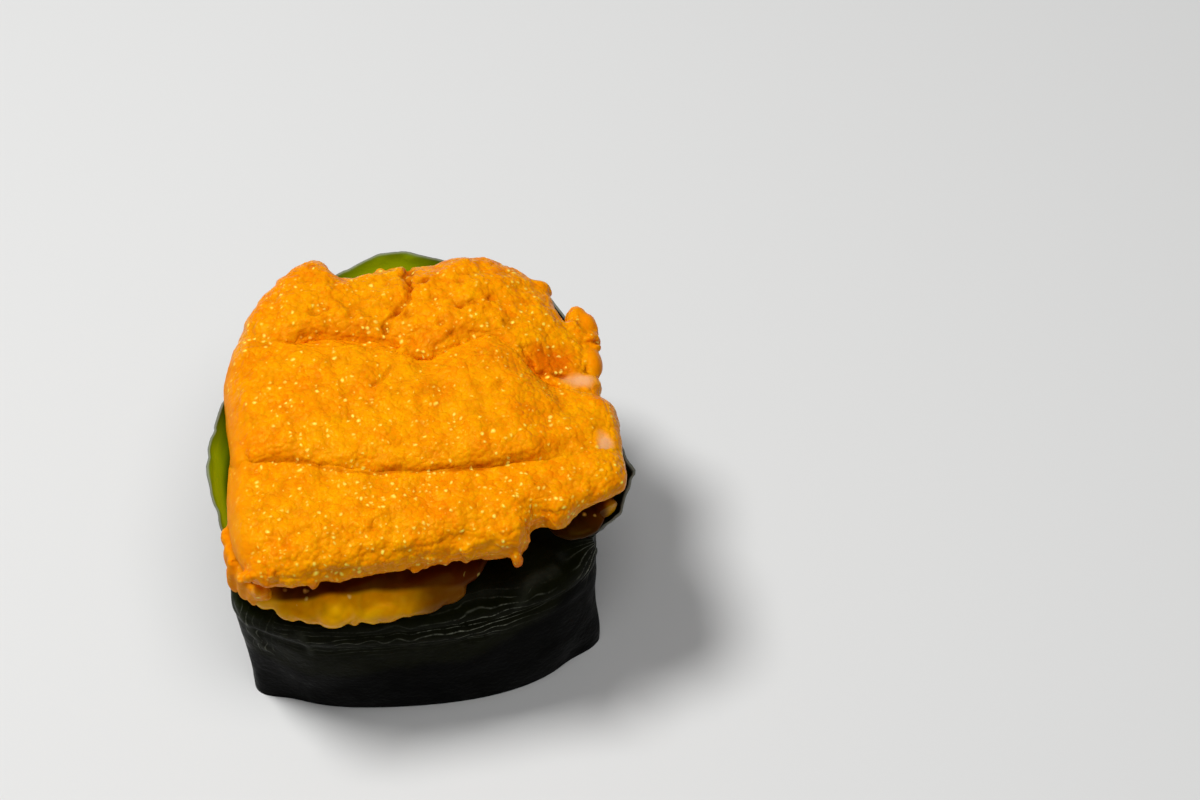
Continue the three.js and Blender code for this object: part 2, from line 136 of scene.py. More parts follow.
def grains(points, size, seed):
    # packed grains: distance to the nearest scattered centre, in cell sizes
    place = points / np.array(size) + 500
    cell = np.floor(place)
    nearest = np.full(len(points), 9.0)
    for step in np.ndindex(3, 3, 3):
        other = cell + np.array(step) - 1
        away = np.sqrt(((other + 0.1 + 0.8 * latticeNumbers(other, seed) - place) ** 2).sum(-1))
        nearest = np.minimum(nearest, away)
    return nearest


def awayFromPath(place, way):
    # distance of each place from a bent line, both given by columns of two or three coordinates
    corners = np.array(way, float)
    best = np.full(np.shape(place[0]), 1e9)
    for start, end in zip(corners[:-1], corners[1:]):
        step = end - start
        t = sum((p - a) * d for p, a, d in zip(place, start, step)) / (step @ step)
        t = np.clip(t, 0, 1)
        away = np.sqrt(sum((p - a - t * d) ** 2 for p, a, d in zip(place, start, step)))
        best = np.minimum(best, away)
    return best


def gridFaces(rows, columns):
    # quads between neighbouring rows of a grid stored row by row; each row is a closed ring
    r, c = np.meshgrid(np.arange(rows - 1), np.arange(columns), indexing="ij")
    r2, c2 = r + 1, (c + 1) % columns
    quads = np.stack([r * columns + c, r * columns + c2, r2 * columns + c2, r2 * columns + c], -1)
    return quads.reshape(-1, 4)


def closedShell(firstPole, rings, lastPole):
    # rings of points (rings, around, 3) that turn right-handed on the way, closed by a point at each end
    count, around = rings.shape[:2]
    points = np.vstack([[firstPole], rings.reshape(-1, 3), [lastPole]])
    k = np.arange(around)
    nextK = (k + 1) % around
    last = len(points) - 1
    firstFan = np.stack([np.zeros_like(k), nextK + 1, k + 1], -1)
    lastRing = 1 + (count - 1) * around
    lastFan = np.stack([np.full_like(k, last), k + lastRing, nextK + lastRing], -1)
    return points, [gridFaces(count, around) + 1, np.vstack([firstFan, lastFan])]


def meshFrom(name, points, faceSets):
    # points in millimetres and arrays of quads or triangles become a smooth-shaded object in metres
    faces = [face for faceSet in faceSets for face in faceSet.tolist()]
    mesh = bpy.data.meshes.new(name)
    mesh.from_pydata((points * metre).tolist(), [], faces)
    mesh.shade_smooth()
    piece = bpy.data.objects.new(name, mesh)
    bpy.context.scene.collection.objects.link(piece)
    return piece


def fused(shells, voxel):
    # overlapping closed shells become one skin of even quads: (points in mm, quads)
    points, quads, triangles, start = [], [], [], 0
    for shellPoints, (shellQuads, shellTriangles) in shells:
        points.append(shellPoints)
        quads.append(shellQuads + start)
        triangles.append(shellTriangles + start)
        start += len(shellPoints)
    piece = meshFrom("shells", np.vstack(points), [np.vstack(quads), np.vstack(triangles)])
    remesh = piece.modifiers.new("fuse", "REMESH")
    remesh.mode = "VOXEL"
    remesh.voxel_size = voxel * metre
    evaluated = piece.evaluated_get(bpy.context.evaluated_depsgraph_get())
    skin = bpy.data.meshes.new_from_object(evaluated)
    skinPoints = np.empty(len(skin.vertices) * 3)
    skin.vertices.foreach_get("co", skinPoints)
    corners = np.empty(len(skin.loops), np.int64)
    skin.loops.foreach_get("vertex_index", corners)
    bpy.data.objects.remove(piece)
    return skinPoints.reshape(-1, 3) / metre, corners.reshape(-1, 4)


def spread(points, quads, amounts):
    # sum of face amounts (one row for each face) at each corner of the faces
    total = np.zeros((len(points), amounts.shape[1]))
    for corner in range(quads.shape[1]):
        for column in range(amounts.shape[1]):
            total[:, column] += np.bincount(quads[:, corner], amounts[:, column], len(points))
    return total


def outward(points, quads):
    # unit normal at each point: sum of the cross products of the diagonals of its faces
    p = points[quads]
    total = spread(points, quads, np.cross(p[:, 2] - p[:, 0], p[:, 3] - p[:, 1]))
    return total / np.maximum(np.linalg.norm(total, axis=1, keepdims=True), 1e-12)


def relaxed(points, quads, times, share=0.5):
    # moves each point a share of the way to the middle of its faces
    for _ in range(times):
        centre = points[quads].mean(1)
        gathered = spread(points, quads, np.hstack([centre, np.ones((len(quads), 1))]))
        points = blend(points, gathered[:, :3] / gathered[:, 3:], share)
    return points


def paint(piece, **masks):
    # one number for each point and mask, for the materials to read
    for name, values in masks.items():
        layer = piece.data.attributes.new(name, "FLOAT", "POINT")
        layer.data.foreach_set("value", np.asarray(values, np.float32))


def tongueShell(spec, sections=90, around=72):
    # superellipse section carried along x: y and z are powers 2 / squareness of cosine and sine, scaled
    # towards the ends by (1 - (1 - t)^n)^(1 / n), n = 4 in plan and 2.4 in height, plus 0.35 mm of swelling
    stations, grow, leftSlant = spec["stations"], spec["grow"], spec.get("leftSlant", 0)
    startX, endX = stations[0][0] - grow, stations[-1][0] + grow
    even = np.arange(1, sections) / sections
    share = blend(even, (1 - np.cos(np.pi * even)) / 2, 0.6)
    toEnd = np.clip(np.minimum(share, 1 - share) / spec["endRounding"], 0, 1)
    fullness = ((1 - (1 - toEnd) ** 2.4) ** (1 / 2.4))[:, None]
    planFullness = ((1 - (1 - toEnd) ** 4) ** (1 / 4))[:, None]
    x = blend(startX, endX, share)[:, None]
    slant = leftSlant * (1 - ramp(startX, startX + 7, x))             # the left end leans with y
    front, back = along(stations, 1, x) - grow, along(stations, 2, x) + grow
    for reach, low, high in spec.get("overFront", []):                # reach over its neighbour, from x to x
        front = front - reach * ramp(low, high, x)
    for reach, low, high in spec.get("overBack", []):
        back = back + reach * ramp(low, high, x)
    bottom, top = along(stations, 3, x) - grow, along(stations, 4, x) + grow
    turn = 2 * np.pi * np.arange(around)[None, :] / around
    c, s = np.cos(turn), np.sin(turn)
    exponent = 2 / np.where(c > 0, spec["backSquareness"], spec["frontSquareness"])
    y = (front + back) / 2 + (back - front) / 2 * signedPower(c, exponent) * planFullness
    z = (top + bottom) / 2 + (top - bottom) / 2 * signedPower(s, exponent) * fullness
    lift = 0.35 * swelling(x, y, z) * fullness
    leaning = x + slant * (y - spec.get("slantMiddle", 0))
    rings = np.stack([leaning, y + lift * c, z + lift * np.maximum(0, s)], -1)

    def middle(at):
        column = [float(along(stations, k, np.array(at))) for k in (1, 2, 3, 4)]
        y = (column[0] + column[1]) / 2
        lean = leftSlant * (y - spec.get("slantMiddle", 0)) if at < 0 else 0
        return [at + lean, y, (column[2] + column[3]) / 2]

    return closedShell(middle(startX), rings, middle(endX))


def pillowShell(spec, columns=90, rows=30):
    # rounded outline times cos(tilt)^0.55, height by sin(tilt)^0.75, plus 0.3 mm of swelling
    tilt = np.pi * (np.arange(1, rows)[:, None] / rows - 0.5)
    angle = 360 * np.arange(columns)[None, :] / columns
    middle, half = (spec["bottom"] + spec["top"]) / 2, (spec["top"] - spec["bottom"]) / 2
    reach = outlineRadius(angle, spec["sides"]) * np.cos(tilt) ** 0.55
    c, s = np.cos(np.radians(angle)), np.sin(np.radians(angle))
    x, y = spec["centre"][0] + reach * c, spec["centre"][1] + reach * s
    z = middle + half * signedPower(np.sin(tilt), 0.75)
    lift = 0.3 * swelling(x, y, z)
    rings = np.stack([x + lift * c, y + lift * s, z + lift], -1)
    return closedShell([*spec["centre"], middle - half], rings, [*spec["centre"], middle + half])


def lobeShell(at, half, turned=0, columns=20, rows=12):
    # ellipsoid with three half sizes, turned about the upright axis
    tilt = np.pi * (np.arange(1, rows)[:, None] / rows - 0.5)
    angle = 2 * np.pi * np.arange(columns)[None, :] / columns
    x = half[0] * np.cos(tilt) * np.cos(angle)
    y = half[1] * np.cos(tilt) * np.sin(angle)
    z = half[2] * np.sin(tilt) + 0 * angle
    c, s = math.cos(turned), math.sin(turned)
    rings = np.stack([at[0] + x * c - y * s, at[1] + x * s + y * c, at[2] + z], -1)
    return closedShell([at[0], at[1], at[2] - half[2]], rings, [at[0], at[1], at[2] + half[2]])


def crumbs(path, count, size, scatter, heights, seed):
    # little lobes strewn along a bent line, each of its own size and height
    rng = np.random.default_rng(seed)
    corners = np.array(path, float)
    share = (np.arange(count) + rng.random(count)) / count * (len(corners) - 1)
    a = np.minimum(share.astype(int), len(corners) - 2)
    place = blend(corners[a], corners[a + 1], (share - a)[:, None])
    place = place + rng.normal(0, scatter, place.shape)
    z = rng.uniform(heights[0], heights[1], count)
    halves = rng.uniform(size[0], size[1], (count, 3)) * [1.15, 1, 1]
    turned = rng.random(count) * 6
    return [lobeShell((*p, h), half, t, 10, 7) for p, h, half, t in zip(place, z, halves, turned)]


tongueVoxel, lowerVoxel = 0.2, 0.26          # mesh steps of the upper and the lower roe
# the crease between the back and the middle tongue
backSeam = [(-17, 11.6), (-12.9, 11.1), (-7.7, 10.1), (-4.1, 9.3), (-2.3, 8.6), (-1.0, 7.6), (0.9, 6.2),
            (2.6, 5.9), (3.6, 7.1), (5.2, 8.2), (9.3, 8.1), (12.1, 6.0)]
backTongue = {
    "stations": [  # x, front, back, bottom, top
        [-20.8, 8.8, 15.0, 25.2, 31.0], [-17.0, 12.4, 20.2, 25.2, 32.8], [-12.0, 11.8, 24.4, 25.2, 33.8],
        [-9.4, 11.5, 24.5, 25.2, 33.8], [-7.4, 11.0, 21.4, 25.2, 33.4], [-1.0, 9.4, 22.4, 25.2, 33.4],
        [2.5, 6.6, 21.8, 25.2, 33.8], [8.0, 8.2, 22.6, 25.2, 34.2], [12.0, 5.6, 21.8, 25.2, 33.6],
        [14.6, 2.8, 20.4, 25.2, 32.8], [17.4, 0.4, 17.2, 25.2, 32.0], [18.6, 0.0, 13.2, 25.4, 31.6],
        [19.8, -0.2, 10.8, 25.6, 31.2], [21.9, -0.6, 9.4, 26.4, 30.6],
    ],
    "grow": 0.15, "frontSquareness": 3.8, "backSquareness": 2.7, "endRounding": 0.07, "voxel": tongueVoxel,
    "overFront": [(1.1, -30, -29), (1.5, -12, -16)],
    "lobes": [     # place, half sizes
        [(20.9, 12.2, 29.0), (1.5, 2.3, 1.8)], [(21.9, 10.8, 29.1), (1.3, 2.2, 1.8)],
        [(22.6, 7.2, 29.8), (0.5, 0.45, 0.45)], [(21.5, 4.9, 29.4), (1.5, 2.4, 1.7)],
        [(20.2, 1.6, 29.3), (2.1, 1.7, 1.9)], [(16.5, 16.7, 30.2), (1.8, 1.5, 1.6)],
        [(20.3, 9.6, 29.6), (2.2, 2.2, 1.7)], [(21.6, 8.6, 29.2), (1.5, 1.6, 1.6)],
        [(-0.8, 7.6, 32.2), (1.2, 0.9, 0.9)], [(0.9, 6.8, 32.3), (1.1, 0.8, 0.9)],
        [(2.4, 6.6, 32.2), (1.2, 0.9, 1.0)],
    ],
    "crumbs": [    # path, count, half sizes, scatter, heights, seed
        ([(-13.6, 22.0), (-10.6, 23.2), (-7.6, 20.6), (-2.0, 21.2), (0.2, 21.4)], 22, (0.5, 0.9), 0.3,
         (29, 31.6), 6),
    ],
    "creases": [   # path, depth, width
        [[(0.9, 23.5), (0.8, 19.5), (0.9, 16.8)], 1.4, 0.5],
        [[(0.9, 16.8), (-0.4, 14.3), (-2.2, 12.0), (-2.8, 10.5)], 0.8, 0.4],
        [[(13.2, 5.6), (13.6, 3.4), (14.2, 2.2), (18.2, 1.7)], 0.65, 0.45],
        [[(x, y + 0.2) for x, y in backSeam], 0.22, 0.35],
        [[(20.8, 7.6), (23.4, 7.4)], 0.4, 0.35], [[(20.9, 10.6), (21.4, 9.0)], 0.3, 0.4],
    ],
    "pits": [      # place, depth, radius
        [(2.5, 17.2), 0.8, 0.6], [(6.4, 12.5), 0.9, 0.5], [(7.8, 12.7), 0.9, 0.5], [(12.2, 8.9), 1.0, 0.6],
        [(9.7, 7.2), 0.7, 0.5], [(-11.1, 13.8), 0.7, 0.6], [(-9.6, 14.6), 0.5, 0.5], [(5.2, 15.6), 0.5, 0.5],
        [(3.6, 14.2), 0.6, 0.5], [(-4.6, 15.8), 0.5, 0.5], [(10.2, 13.4), 0.6, 0.5], [(-6.6, 13.2), 0.5, 0.5],
        [(7.1, 16.5), 0.6, 0.5], [(0.2, 12.6), 0.6, 0.5], [(4.4, 10.4), 0.5, 0.5],
    ],
    "dips": [[(17.0, 4.0), 0.8, 2.9]],             # broad and smooth: place, depth, radius
    "slopes": [    # path, depth, width
        [[(-17, 14.2), (-7.7, 12.7), (-4.1, 11.9), (-1.0, 10.6)], -0.2, 1.3],
        [[(2.6, 8.6), (5.2, 10.8), (9.3, 10.6), (12.1, 8.6)], -0.15, 1.2],
    ],
    "shades": [    # path, amount, width
        [[(-14, 12.0), (-7.7, 11.2), (-4.1, 10.4), (-1.5, 9.2), (0.6, 7.6)], 0.2, 1.0],
        [[(0.9, 7.2), (2.6, 6.8), (3.6, 8.0), (5.2, 9.1), (9.3, 9.0), (12.1, 7.0)], 0.2, 0.8],
    ],
    "shadeSpots": [[(16.6, 4.1), (3.6, 2.5)]],
    "pale": [[(19.8, 1.2), (2.2, 1.0)]],           # place, half sizes
    "smooth": [[(22.2, 4.6), (1.5, 2.2)], [(22.0, 11.2), (1.3, 2.6)]],
    "granule": 0.58, "granuleHeight": 0.14, "clump": (1.4, 1.6, 1.4), "clumpHeight": 0.2, "lump": 0.3,
    "seed": 11, "sparkle": 0.03,
}
# the crease between the middle and the front tongue
frontSeam = {"shift": -0.4, "stations": [
    [-24, -4.6], [-20.2, -5.5], [-15.9, -6.4], [-11.0, -8.5], [-8.2, -9.4], [-2.5, -10.1], [3.0, -10.7],
    [7.7, -10.8], [10.7, -10.2], [14.7, -10.2], [18, -10],
]}
middleTongue = {
    "stations": [
        [-22.9, -3.6, 8.6, 25.2, 31.4], [-19.6, -4.6, 12.0, 25.2, 32.6], [-12.0, -7.0, 12.2, 25.2, 33.2],
        [-4.0, -9.0, 10.6, 25.2, 33.4], [2.0, -9.8, 6.8, 25.2, 33.4], [7.0, -9.8, 8.8, 25.2, 34.0],
        [11.6, -9.3, 8.6, 25.2, 33.8], [14.6, -9.0, 2.2, 25.3, 32.8], [18.0, -8.8, 0.4, 25.6, 32.0],
        [23.4, -8.2, -1.6, 26.6, 31.4],
    ],
    "grow": 0.18, "frontSquareness": 4.0, "backSquareness": 3.4, "endRounding": 0.09, "voxel": tongueVoxel,
    "overFront": [(1.5, -30, -29), (0.7, 9.5, 16), (0.5, -17.5, -22)],
    "overBack": [(0.1, -30, -29), (1.8, -12, -16)],
    "lobes": [[(-21.6, -4.4, 28.4), (1.4, 2.8, 3.0)]],
    "creases": [
        [[(-2.5, 4.1), (-3.6, 3.0), (-5.2, 1.7)], 0.4, 0.3],
        [backSeam, 0.22, 0.35],
        [[(0.6, 5.0), (0.4, -1.0), (0.2, -7.0)], 0.22, 0.6],
        [[(-8.5, 3.0), (-8.3, -2.8)], 0.25, 0.5],
        [[(7.3, -0.5), (7.2, -7.0)], 0.2, 0.6],
    ],
    "pits": [[(9.6, -0.6), 0.35, 0.6], [(3.4, 1.4), 0.3, 0.6]],
    "pale": [[(21.3, -9.2), (1.0, 2.3)]],
    "slopes": [[[(-16.0, 11.4), (-7.7, 10.2), (-4.1, 9.3), (-1.0, 7.6)], 0.2, 1.2]],
    "seams": [(frontSeam, 0.12, 0.3, -18, 11)],                       # depth, width, from x to x
    "granule": 0.6, "granuleHeight": 0.09, "clump": (1.9, 2.2, 1.9), "clumpHeight": 0.1, "lump": 0.22,
    "seed": 23,
}
frontEdge = [(-22.4, -20.4), (-18, -21.4), (-12, -20.8), (-6, -20.4), (0, -20.2), (5, -20.0), (9.2, -20.2),
             (10.4, -18.6)]
frontTongue = {
    "stations": [
        [-23.9, -14.0, -3.6, 24.8, 29.8], [-22.6, -17.6, -4.4, 24.8, 30.8], [-20.8, -20.6, -4.8, 24.9, 31.1],
        [-18.6, -21.9, -5.4, 25.0, 31.4], [-12.0, -21.6, -7.2, 25.1, 31.8], [-3.0, -21.2, -9.2, 25.2, 31.8],
        [4.0, -20.6, -10.0, 25.2, 31.8], [9.4, -21.2, -9.6, 25.2, 31.8], [11.0, -18.2, -9.5, 25.3, 31.8],
        [12.6, -17.4, -9.4, 25.4, 31.8], [14.4, -18.6, -9.2, 26.0, 31.7], [16.6, -17.0, -8.9, 26.8, 31.6],
        [18.6, -16.2, -8.8, 27.2, 31.5], [20.8, -15.6, -8.6, 27.2, 31.3], [23.4, -14.6, -8.2, 27.2, 31.0],
    ],
    "grow": 0.15, "frontSquareness": 2.3, "backSquareness": 8.0, "endRounding": 0.07, "voxel": tongueVoxel,
    "leftSlant": 0.0875, "slantMiddle": -12,
    "overBack": [(0.15, -30, -29), (1.5, 9.5, 16), (1.4, -17.5, -22)],
    "lobes": [
        [(9.2, -21.4, 27.0), (0.6, 0.7, 1.3)],
        [(-24.2, -13.2, 26.6), (0.6, 1.2, 1.1)], [(-24.0, -15.1, 25.2), (0.7, 1.1, 2.3)],      # curtain
        [(-23.7, -16.9, 24.0), (1.0, 0.9, 3.3)], [(-22.6, -18.2, 23.8), (0.95, 0.9, 3.2)],
        [(-21.8, -19.2, 22.8), (0.7, 0.7, 2.2)], [(-20.7, -19.7, 23.8), (1.2, 0.9, 1.6)],
        [(-23.0, -15.6, 25.4), (1.4, 2.2, 2.0)],
    ],
    "crumbs": [(frontEdge[1:], 110, (0.4, 0.8), 0.35, (26.9, 28.6), 7),
               (frontEdge[:6], 50, (0.5, 0.85), 0.35, (27.4, 29.4), 8)],
    "creases": [[[(-23.9, -13.4, 27.6), (-23.8, -15.9, 27.4), (-23.7, -17.4, 27.0), (-23.1, -18.7, 26.8),
                  (-22.1, -19.5, 26.7), (-21.6, -20.3, 26.1), (-20.8, -21.0, 25.5)], 0.45, 0.4]],
    "clumpyFront": 0.22, "under": (25.6, 28.2, 0.85),                  # shade: from z, to z, amount
    "seams": [(frontSeam, 0.12, 0.3, -18, 11)],
    "granule": 0.62, "granuleHeight": 0.13, "clump": (1.7, 1.9, 1.6), "clumpHeight": 0.13, "lump": 0.3,
    "seed": 37, "sparkle": 0.1,
}
roeRelief = {
    "creasedAbove": (26.5, 28.5), "creasedLeft": (-20.5, -19.0),      # from none to all, in z and in x
    "smoothLeft": (-23.2, -20.2), "smoothLeftShare": 0.75, "smoothAbove": (28.0, 29.0), "smoothing": 0.85,
    # underFront and underLeft: where the painted shade on the lower front face fades out, in y and in x
    "frontFace": (-18.5, -15.5), "underFront": (-18, -14), "underLeft": (-20, -18), "settle": 0.4,
}


def spots(points, places, inner=0.6, outer=1.1):
    # 1 inside each flat oval (place, half sizes), 0 outside, soft between, with an uneven edge
    total = np.zeros(len(points))
    for place, half in places:
        away = np.hypot((points[:, 0] - place[0]) / half[0], (points[:, 1] - place[1]) / half[1])
        total = np.maximum(total, 1 - ramp(inner, outer, away + 0.25 * lumps(points, 0.9, 5)))
    return total


def shellsOf(spec):
    # the body of the piece, its lobes and its crumbs
    body = tongueShell(spec) if "stations" in spec else pillowShell(spec)
    shells = [body] + [lobeShell(*lobe) for lobe in spec["lobes"]]
    for strewn in spec.get("crumbs", []):
        shells += crumbs(*strewn)
    return shells


def carving(spec, points):
    # sums of depth times the bell of the distance: creases, pits and seams with wandering edges, then broad
    # dips and slopes, and the line of painted shade along a seam
    x, y, z = points.T
    seed = spec["seed"]
    carve, sunk, line = np.zeros((3, len(points)))
    wander = lumps(points, 1.3, seed + 8)
    bentX, bentY = x + 0.45 * lumps(points, 1.3, seed + 7), y + 0.45 * wander
    uneven = 0.7 + 0.5 * lumps(points, 1.0, seed + 9)
    for way, depth, width in spec.get("creases", []):
        carve += depth * uneven * hump(awayFromPath((bentX, bentY, z)[:len(way[0])], way), width)
    for place, depth, radius in spec.get("pits", []):
        carve += depth * uneven * hump(np.hypot(bentX - place[0], bentY - place[1]), radius)
    for place, depth, radius in spec.get("dips", []):
        sunk += depth * hump(np.hypot(x - place[0], y - place[1]), radius)
    for way, depth, width in spec.get("slopes", []):                  # below 0 it rises
        sunk += depth * hump(awayFromPath((x, y), way), width)
    for seam, depth, width, start, end in spec.get("seams", []):
        reach = ramp(start - 2.5, start + 2.5, x) * (1 - ramp(end - 2.5, end + 2.5, x))
        away = y + 0.15 * wander - along(seam["stations"], 1, x) - seam["shift"]
        carve += depth * reach * hump(away, width)
        line += 0.3 * reach * hump(away, width)
    return carve, sunk, line


def roePiece(name, spec, underShade=None):
    # fused shells, then creases, pits and lumps, then the granules, all along the outward normal;
    # with a shade function it is lower roe, kept inside the nori, with painted shade darker towards the roe
    # above
    points, quads = fused(shellsOf(spec), spec["voxel"])
    points = relaxed(points, quads, 6)
    x, y, z = points.T
    seed, size = spec["seed"], spec["granule"]
    carve, sunk, line = carving(spec, points)
    creased, leftEnd = 1, 0
    if not underShade:
        creased = np.maximum(ramp(*roeRelief["creasedAbove"], z), 1 - ramp(*roeRelief["creasedLeft"], x))
        grainyFrom = ramp(*roeRelief["smoothLeft"], x + 1.2 * lumps(points, 3.0, seed + 1))
        leftEnd = roeRelief["smoothLeftShare"] * (1 - grainyFrom)
    onTop = ramp(*roeRelief["smoothAbove"], z)
    pale = spots(points, spec.get("pale", []), 0.3, 1.2) * onTop
    glossy = spots(points, spec.get("smooth", [])) * onTop
    smooth = np.maximum(np.maximum(leftEnd, glossy), 0.9 * pale)
    rough = 1 - roeRelief["smoothing"] * smooth
    broad = spec["lump"] * (0.65 * lumps(points, 3.2, seed + 2) + 0.45 * lumps(points, 1.5, seed + 3))
    points = points + outward(points, quads) * (broad * rough - (carve + sunk) * creased)[:, None]
    normals = outward(points, quads)
    dome = 1 - np.clip(grains(points, (size, size * 1.12, size), seed + 4) / 0.8, 0, 1) ** 2
    clump = 1 - np.clip(grains(points, spec["clump"], seed + 5) / 0.85, 0, 1) ** 2
    patchy = 0.55 + 0.45 * ramp(-0.4, 0.5, lumps(points, 2.6, seed + 6))
    face = spec.get("clumpyFront", 0) * (1 - ramp(*roeRelief["frontFace"], y))
    rise = spec["granuleHeight"] * (dome - 0.6) * patchy + (spec["clumpHeight"] + face) * (clump - 0.55)
    points = relaxed(points + normals * (rise * rough)[:, None], quads, 1, roeRelief["settle"])
    if underShade:
        points = insideNori(points)
    piece = meshFrom(name, points, [quads])
    shade = 0.9 * spots(points, spec.get("shadeSpots", []), 0.3, 1.35)
    for way, amount, width in spec.get("shades", []):
        shade = shade + amount * hump(awayFromPath((x, y), way), width)
    # painted shade, darker towards the bottom of the front face
    low, high, amount = spec.get("under", (0, 1, 0))
    below = 1 - ramp(low, high, points[:, 2] + 0.5 * lumps(points, 1.2, seed + 10))
    under = amount * below * (1 - ramp(*roeRelief["underFront"], y)) * ramp(*roeRelief["underLeft"], x)
    # painted shade in the creases, pits and seams and between the clumps
    hollow = np.clip((carve * 0.9 + line) * creased + 0.3 * (1 - clump) * rough, 0, 1)
    dim = np.zeros(len(points))
    # lower roe: painted shadow of the roe above, over the shade in the hollows
    if underShade:
        hollow = np.maximum(hollow, underShade(*points.T))
    # painted shadow over the film, away from its one lit place
    if "lit" in spec:                                                 # dim away from the lit place
        dim = 0.8 * ramp(0.6, 4.5, np.hypot(points[:, 0] - spec["lit"][0], points[:, 1] - spec["lit"][1]))
    # the mask from 1 - dome is painted shade between the granules
    paint(piece, hollow=hollow, valley=(1 - dome) * rough, shade=np.maximum(np.clip(shade, 0, 1), under),
          smooth=smooth, glossy=glossy, pale=pale, dim=dim,
          sparkle=np.full(len(points), spec.get("sparkle", 0)))
    print(name, len(points), "points", len(quads) * 2, "triangles")
    return piece


backPiece = roePiece("roeBack", backTongue)
middlePiece = roePiece("roeMiddle", middleTongue)
frontPiece = roePiece("roeFront", frontTongue)

nori = {
    "width": 29, "startAngle": -68, "turn": 390, "creaseShare": 0.66, "flapLift": 1.7, "layerStep": 0.8,
    "footSides": [(-96, 21.7), (-57, 24.5), (0, 19.8), (90, 20.6), (145, 24.6), (180, 22.6)],
    "footCorner": (-144, 6, 2.2),                                     # direction, spread, rise
    "creaseSides": [(-93, 23.7), (-65, 25.8), (0, 20.4), (90, 22.8), (145, 25.4), (180, 23.9)],
    "creaseCorner": (-145, 7.5, 1.8),
    "wallBulge": (5, -4, 12),                                         # tilt, tilt at the corner, spread
    "flares": [(-28, 11, 38), (-21.5, 1.0, 3), (191, 19, 9.5)],       # angle, spread, lean
    "rimWaves": [(92, 13, 2.4), (36, 26, -5), (-147, 15, -7.5), (-38, 5.5, -7), (-28, 6.5, -4),
                 (-21.5, 1.0, 0.3)],                                  # angle, spread, rise
    "columns": 521, "rows": 90, "outer": 0.25, "thickness": 0.26,
    # the last column of a wrinkle is its share of painted highlight on the ridge
    "wrinkles": [  # path of (angle, length up the strip), rise, width, paleness
        [[(-33.5, 18.4), (-37.5, 18.7), (-41, 19.1), (-45.5, 19.3), (-51.5, 19.6)], 0.22, 0.45, 0],
        [[(-32.5, 17.5), (-38.5, 18.2), (-41.5, 18.1), (-43.5, 17.4), (-45, 16.2)], 0.22, 0.45, 0],
        [[(-30.5, 17.2), (-28, 14.4), (-27, 11.6), (-27.5, 9), (-29, 6)], 0.15, 0.36, 0.35],
        [[(-67, 18.5), (-63, 19.7), (-57.5, 20.2), (-52.5, 20.2)], 0.25, 0.6, 0.1],
        [[(-86, 17.9), (-83, 16.6), (-79.5, 16.8), (-76.5, 17.2), (-70, 17.2)], 0.2, 0.5, 0],
        [[(-84, 13.6), (-80, 13.3), (-77, 13.6)], 0.2, 0.5, 0],
        [[(-143, 19.4), (-141.5, 17.1), (-141, 14.6), (-139.5, 13), (-138.5, 11.4)], 0.2, 0.45, 0.15],
        [[(-131.5, 17.2), (-128.5, 17.8), (-127.5, 18.4), (-126.5, 16.5), (-126, 14.2)], 0.2, 0.45, 0.1],
    ],
    # the crumpled paths get fine crease lines painted as highlights, with bumps
    "crumpled": [  # path, reach around it, how much: fine creases drawn by the finish
        [[(-32.4, 20.6), (-37, 19.2), (-42, 17.8)], 1.6, 1.6],
        [[(-85.5, 16.8), (-78, 16.6), (-70, 17.4)], 1.7, 1.1],
        [[(-97.5, 17.1), (-91, 16.6)], 0.8, 0.6],
        [[(-132, 16.8), (-115, 16.2), (-60, 17.6)], 2.2, 0.2],
        [[(-142, 18.8), (-140.5, 14.6), (-138.5, 11.6)], 0.9, 0.45],
    ],
    "fan": (-31.0, 21.2, 8.0),                                        # neck: angle, length, degrees a crease
    "creaseStep": 0.75, "mmPerDegree": 0.42,                          # mm a crease, mm around
    "lean": (8, 5, 12), "foldTilt": -78,                              # lean at the right, left and back
    "foldEnds": (-158, -132, -50, -34),                               # folds in and out between these angles
    # lit: where painted light shines through the nori, at the left and the back
    "lit": [(190, 17), (95, 17)], "litDepth": (4, 8),                 # left and back: angle, spread; mm
    # rimLine: mm over which the painted highlight along the rim fades
    "rimLine": (0.08, 0.28), "tucked": (-150, -142, -39, -35),        # mm; no rim line between these angles
    # sheenFrom: length up the strip, for each angle, where the painted sheen begins
    "sheenFrom": [(-180, 12), (-142, 9.7), (-128, 7.8), (-118, 8.3), (-103, 10.2), (-85, 10.2), (-69, 12.7),
                  (-56, 15.4), (-40, 18), (0, 16), (180, 12)],
}


def noriStanding(angle):
    # lean above the crease, how far the strip is folded in, and its width, in each direction
    c, s = np.cos(np.radians(angle)), np.sin(np.radians(angle))
    lean = sum(most * np.maximum(0, share) ** 2 for most, share in zip(nori["lean"], (c, -c, s)))
    signed, ends = turnBetween(angle, 0), nori["foldEnds"]
    fold = ramp(*ends[:2], signed) * (1 - ramp(*ends[2:], signed))
    width = nori["width"] + sum(rise * hump(turnBetween(angle, a), w) for a, w, rise in nori["rimWaves"])
    lean = lean + sum(more * hump(turnBetween(angle, a), w) for a, w, more in nori["flares"])
    return blend(lean, nori["foldTilt"], fold), fold, width


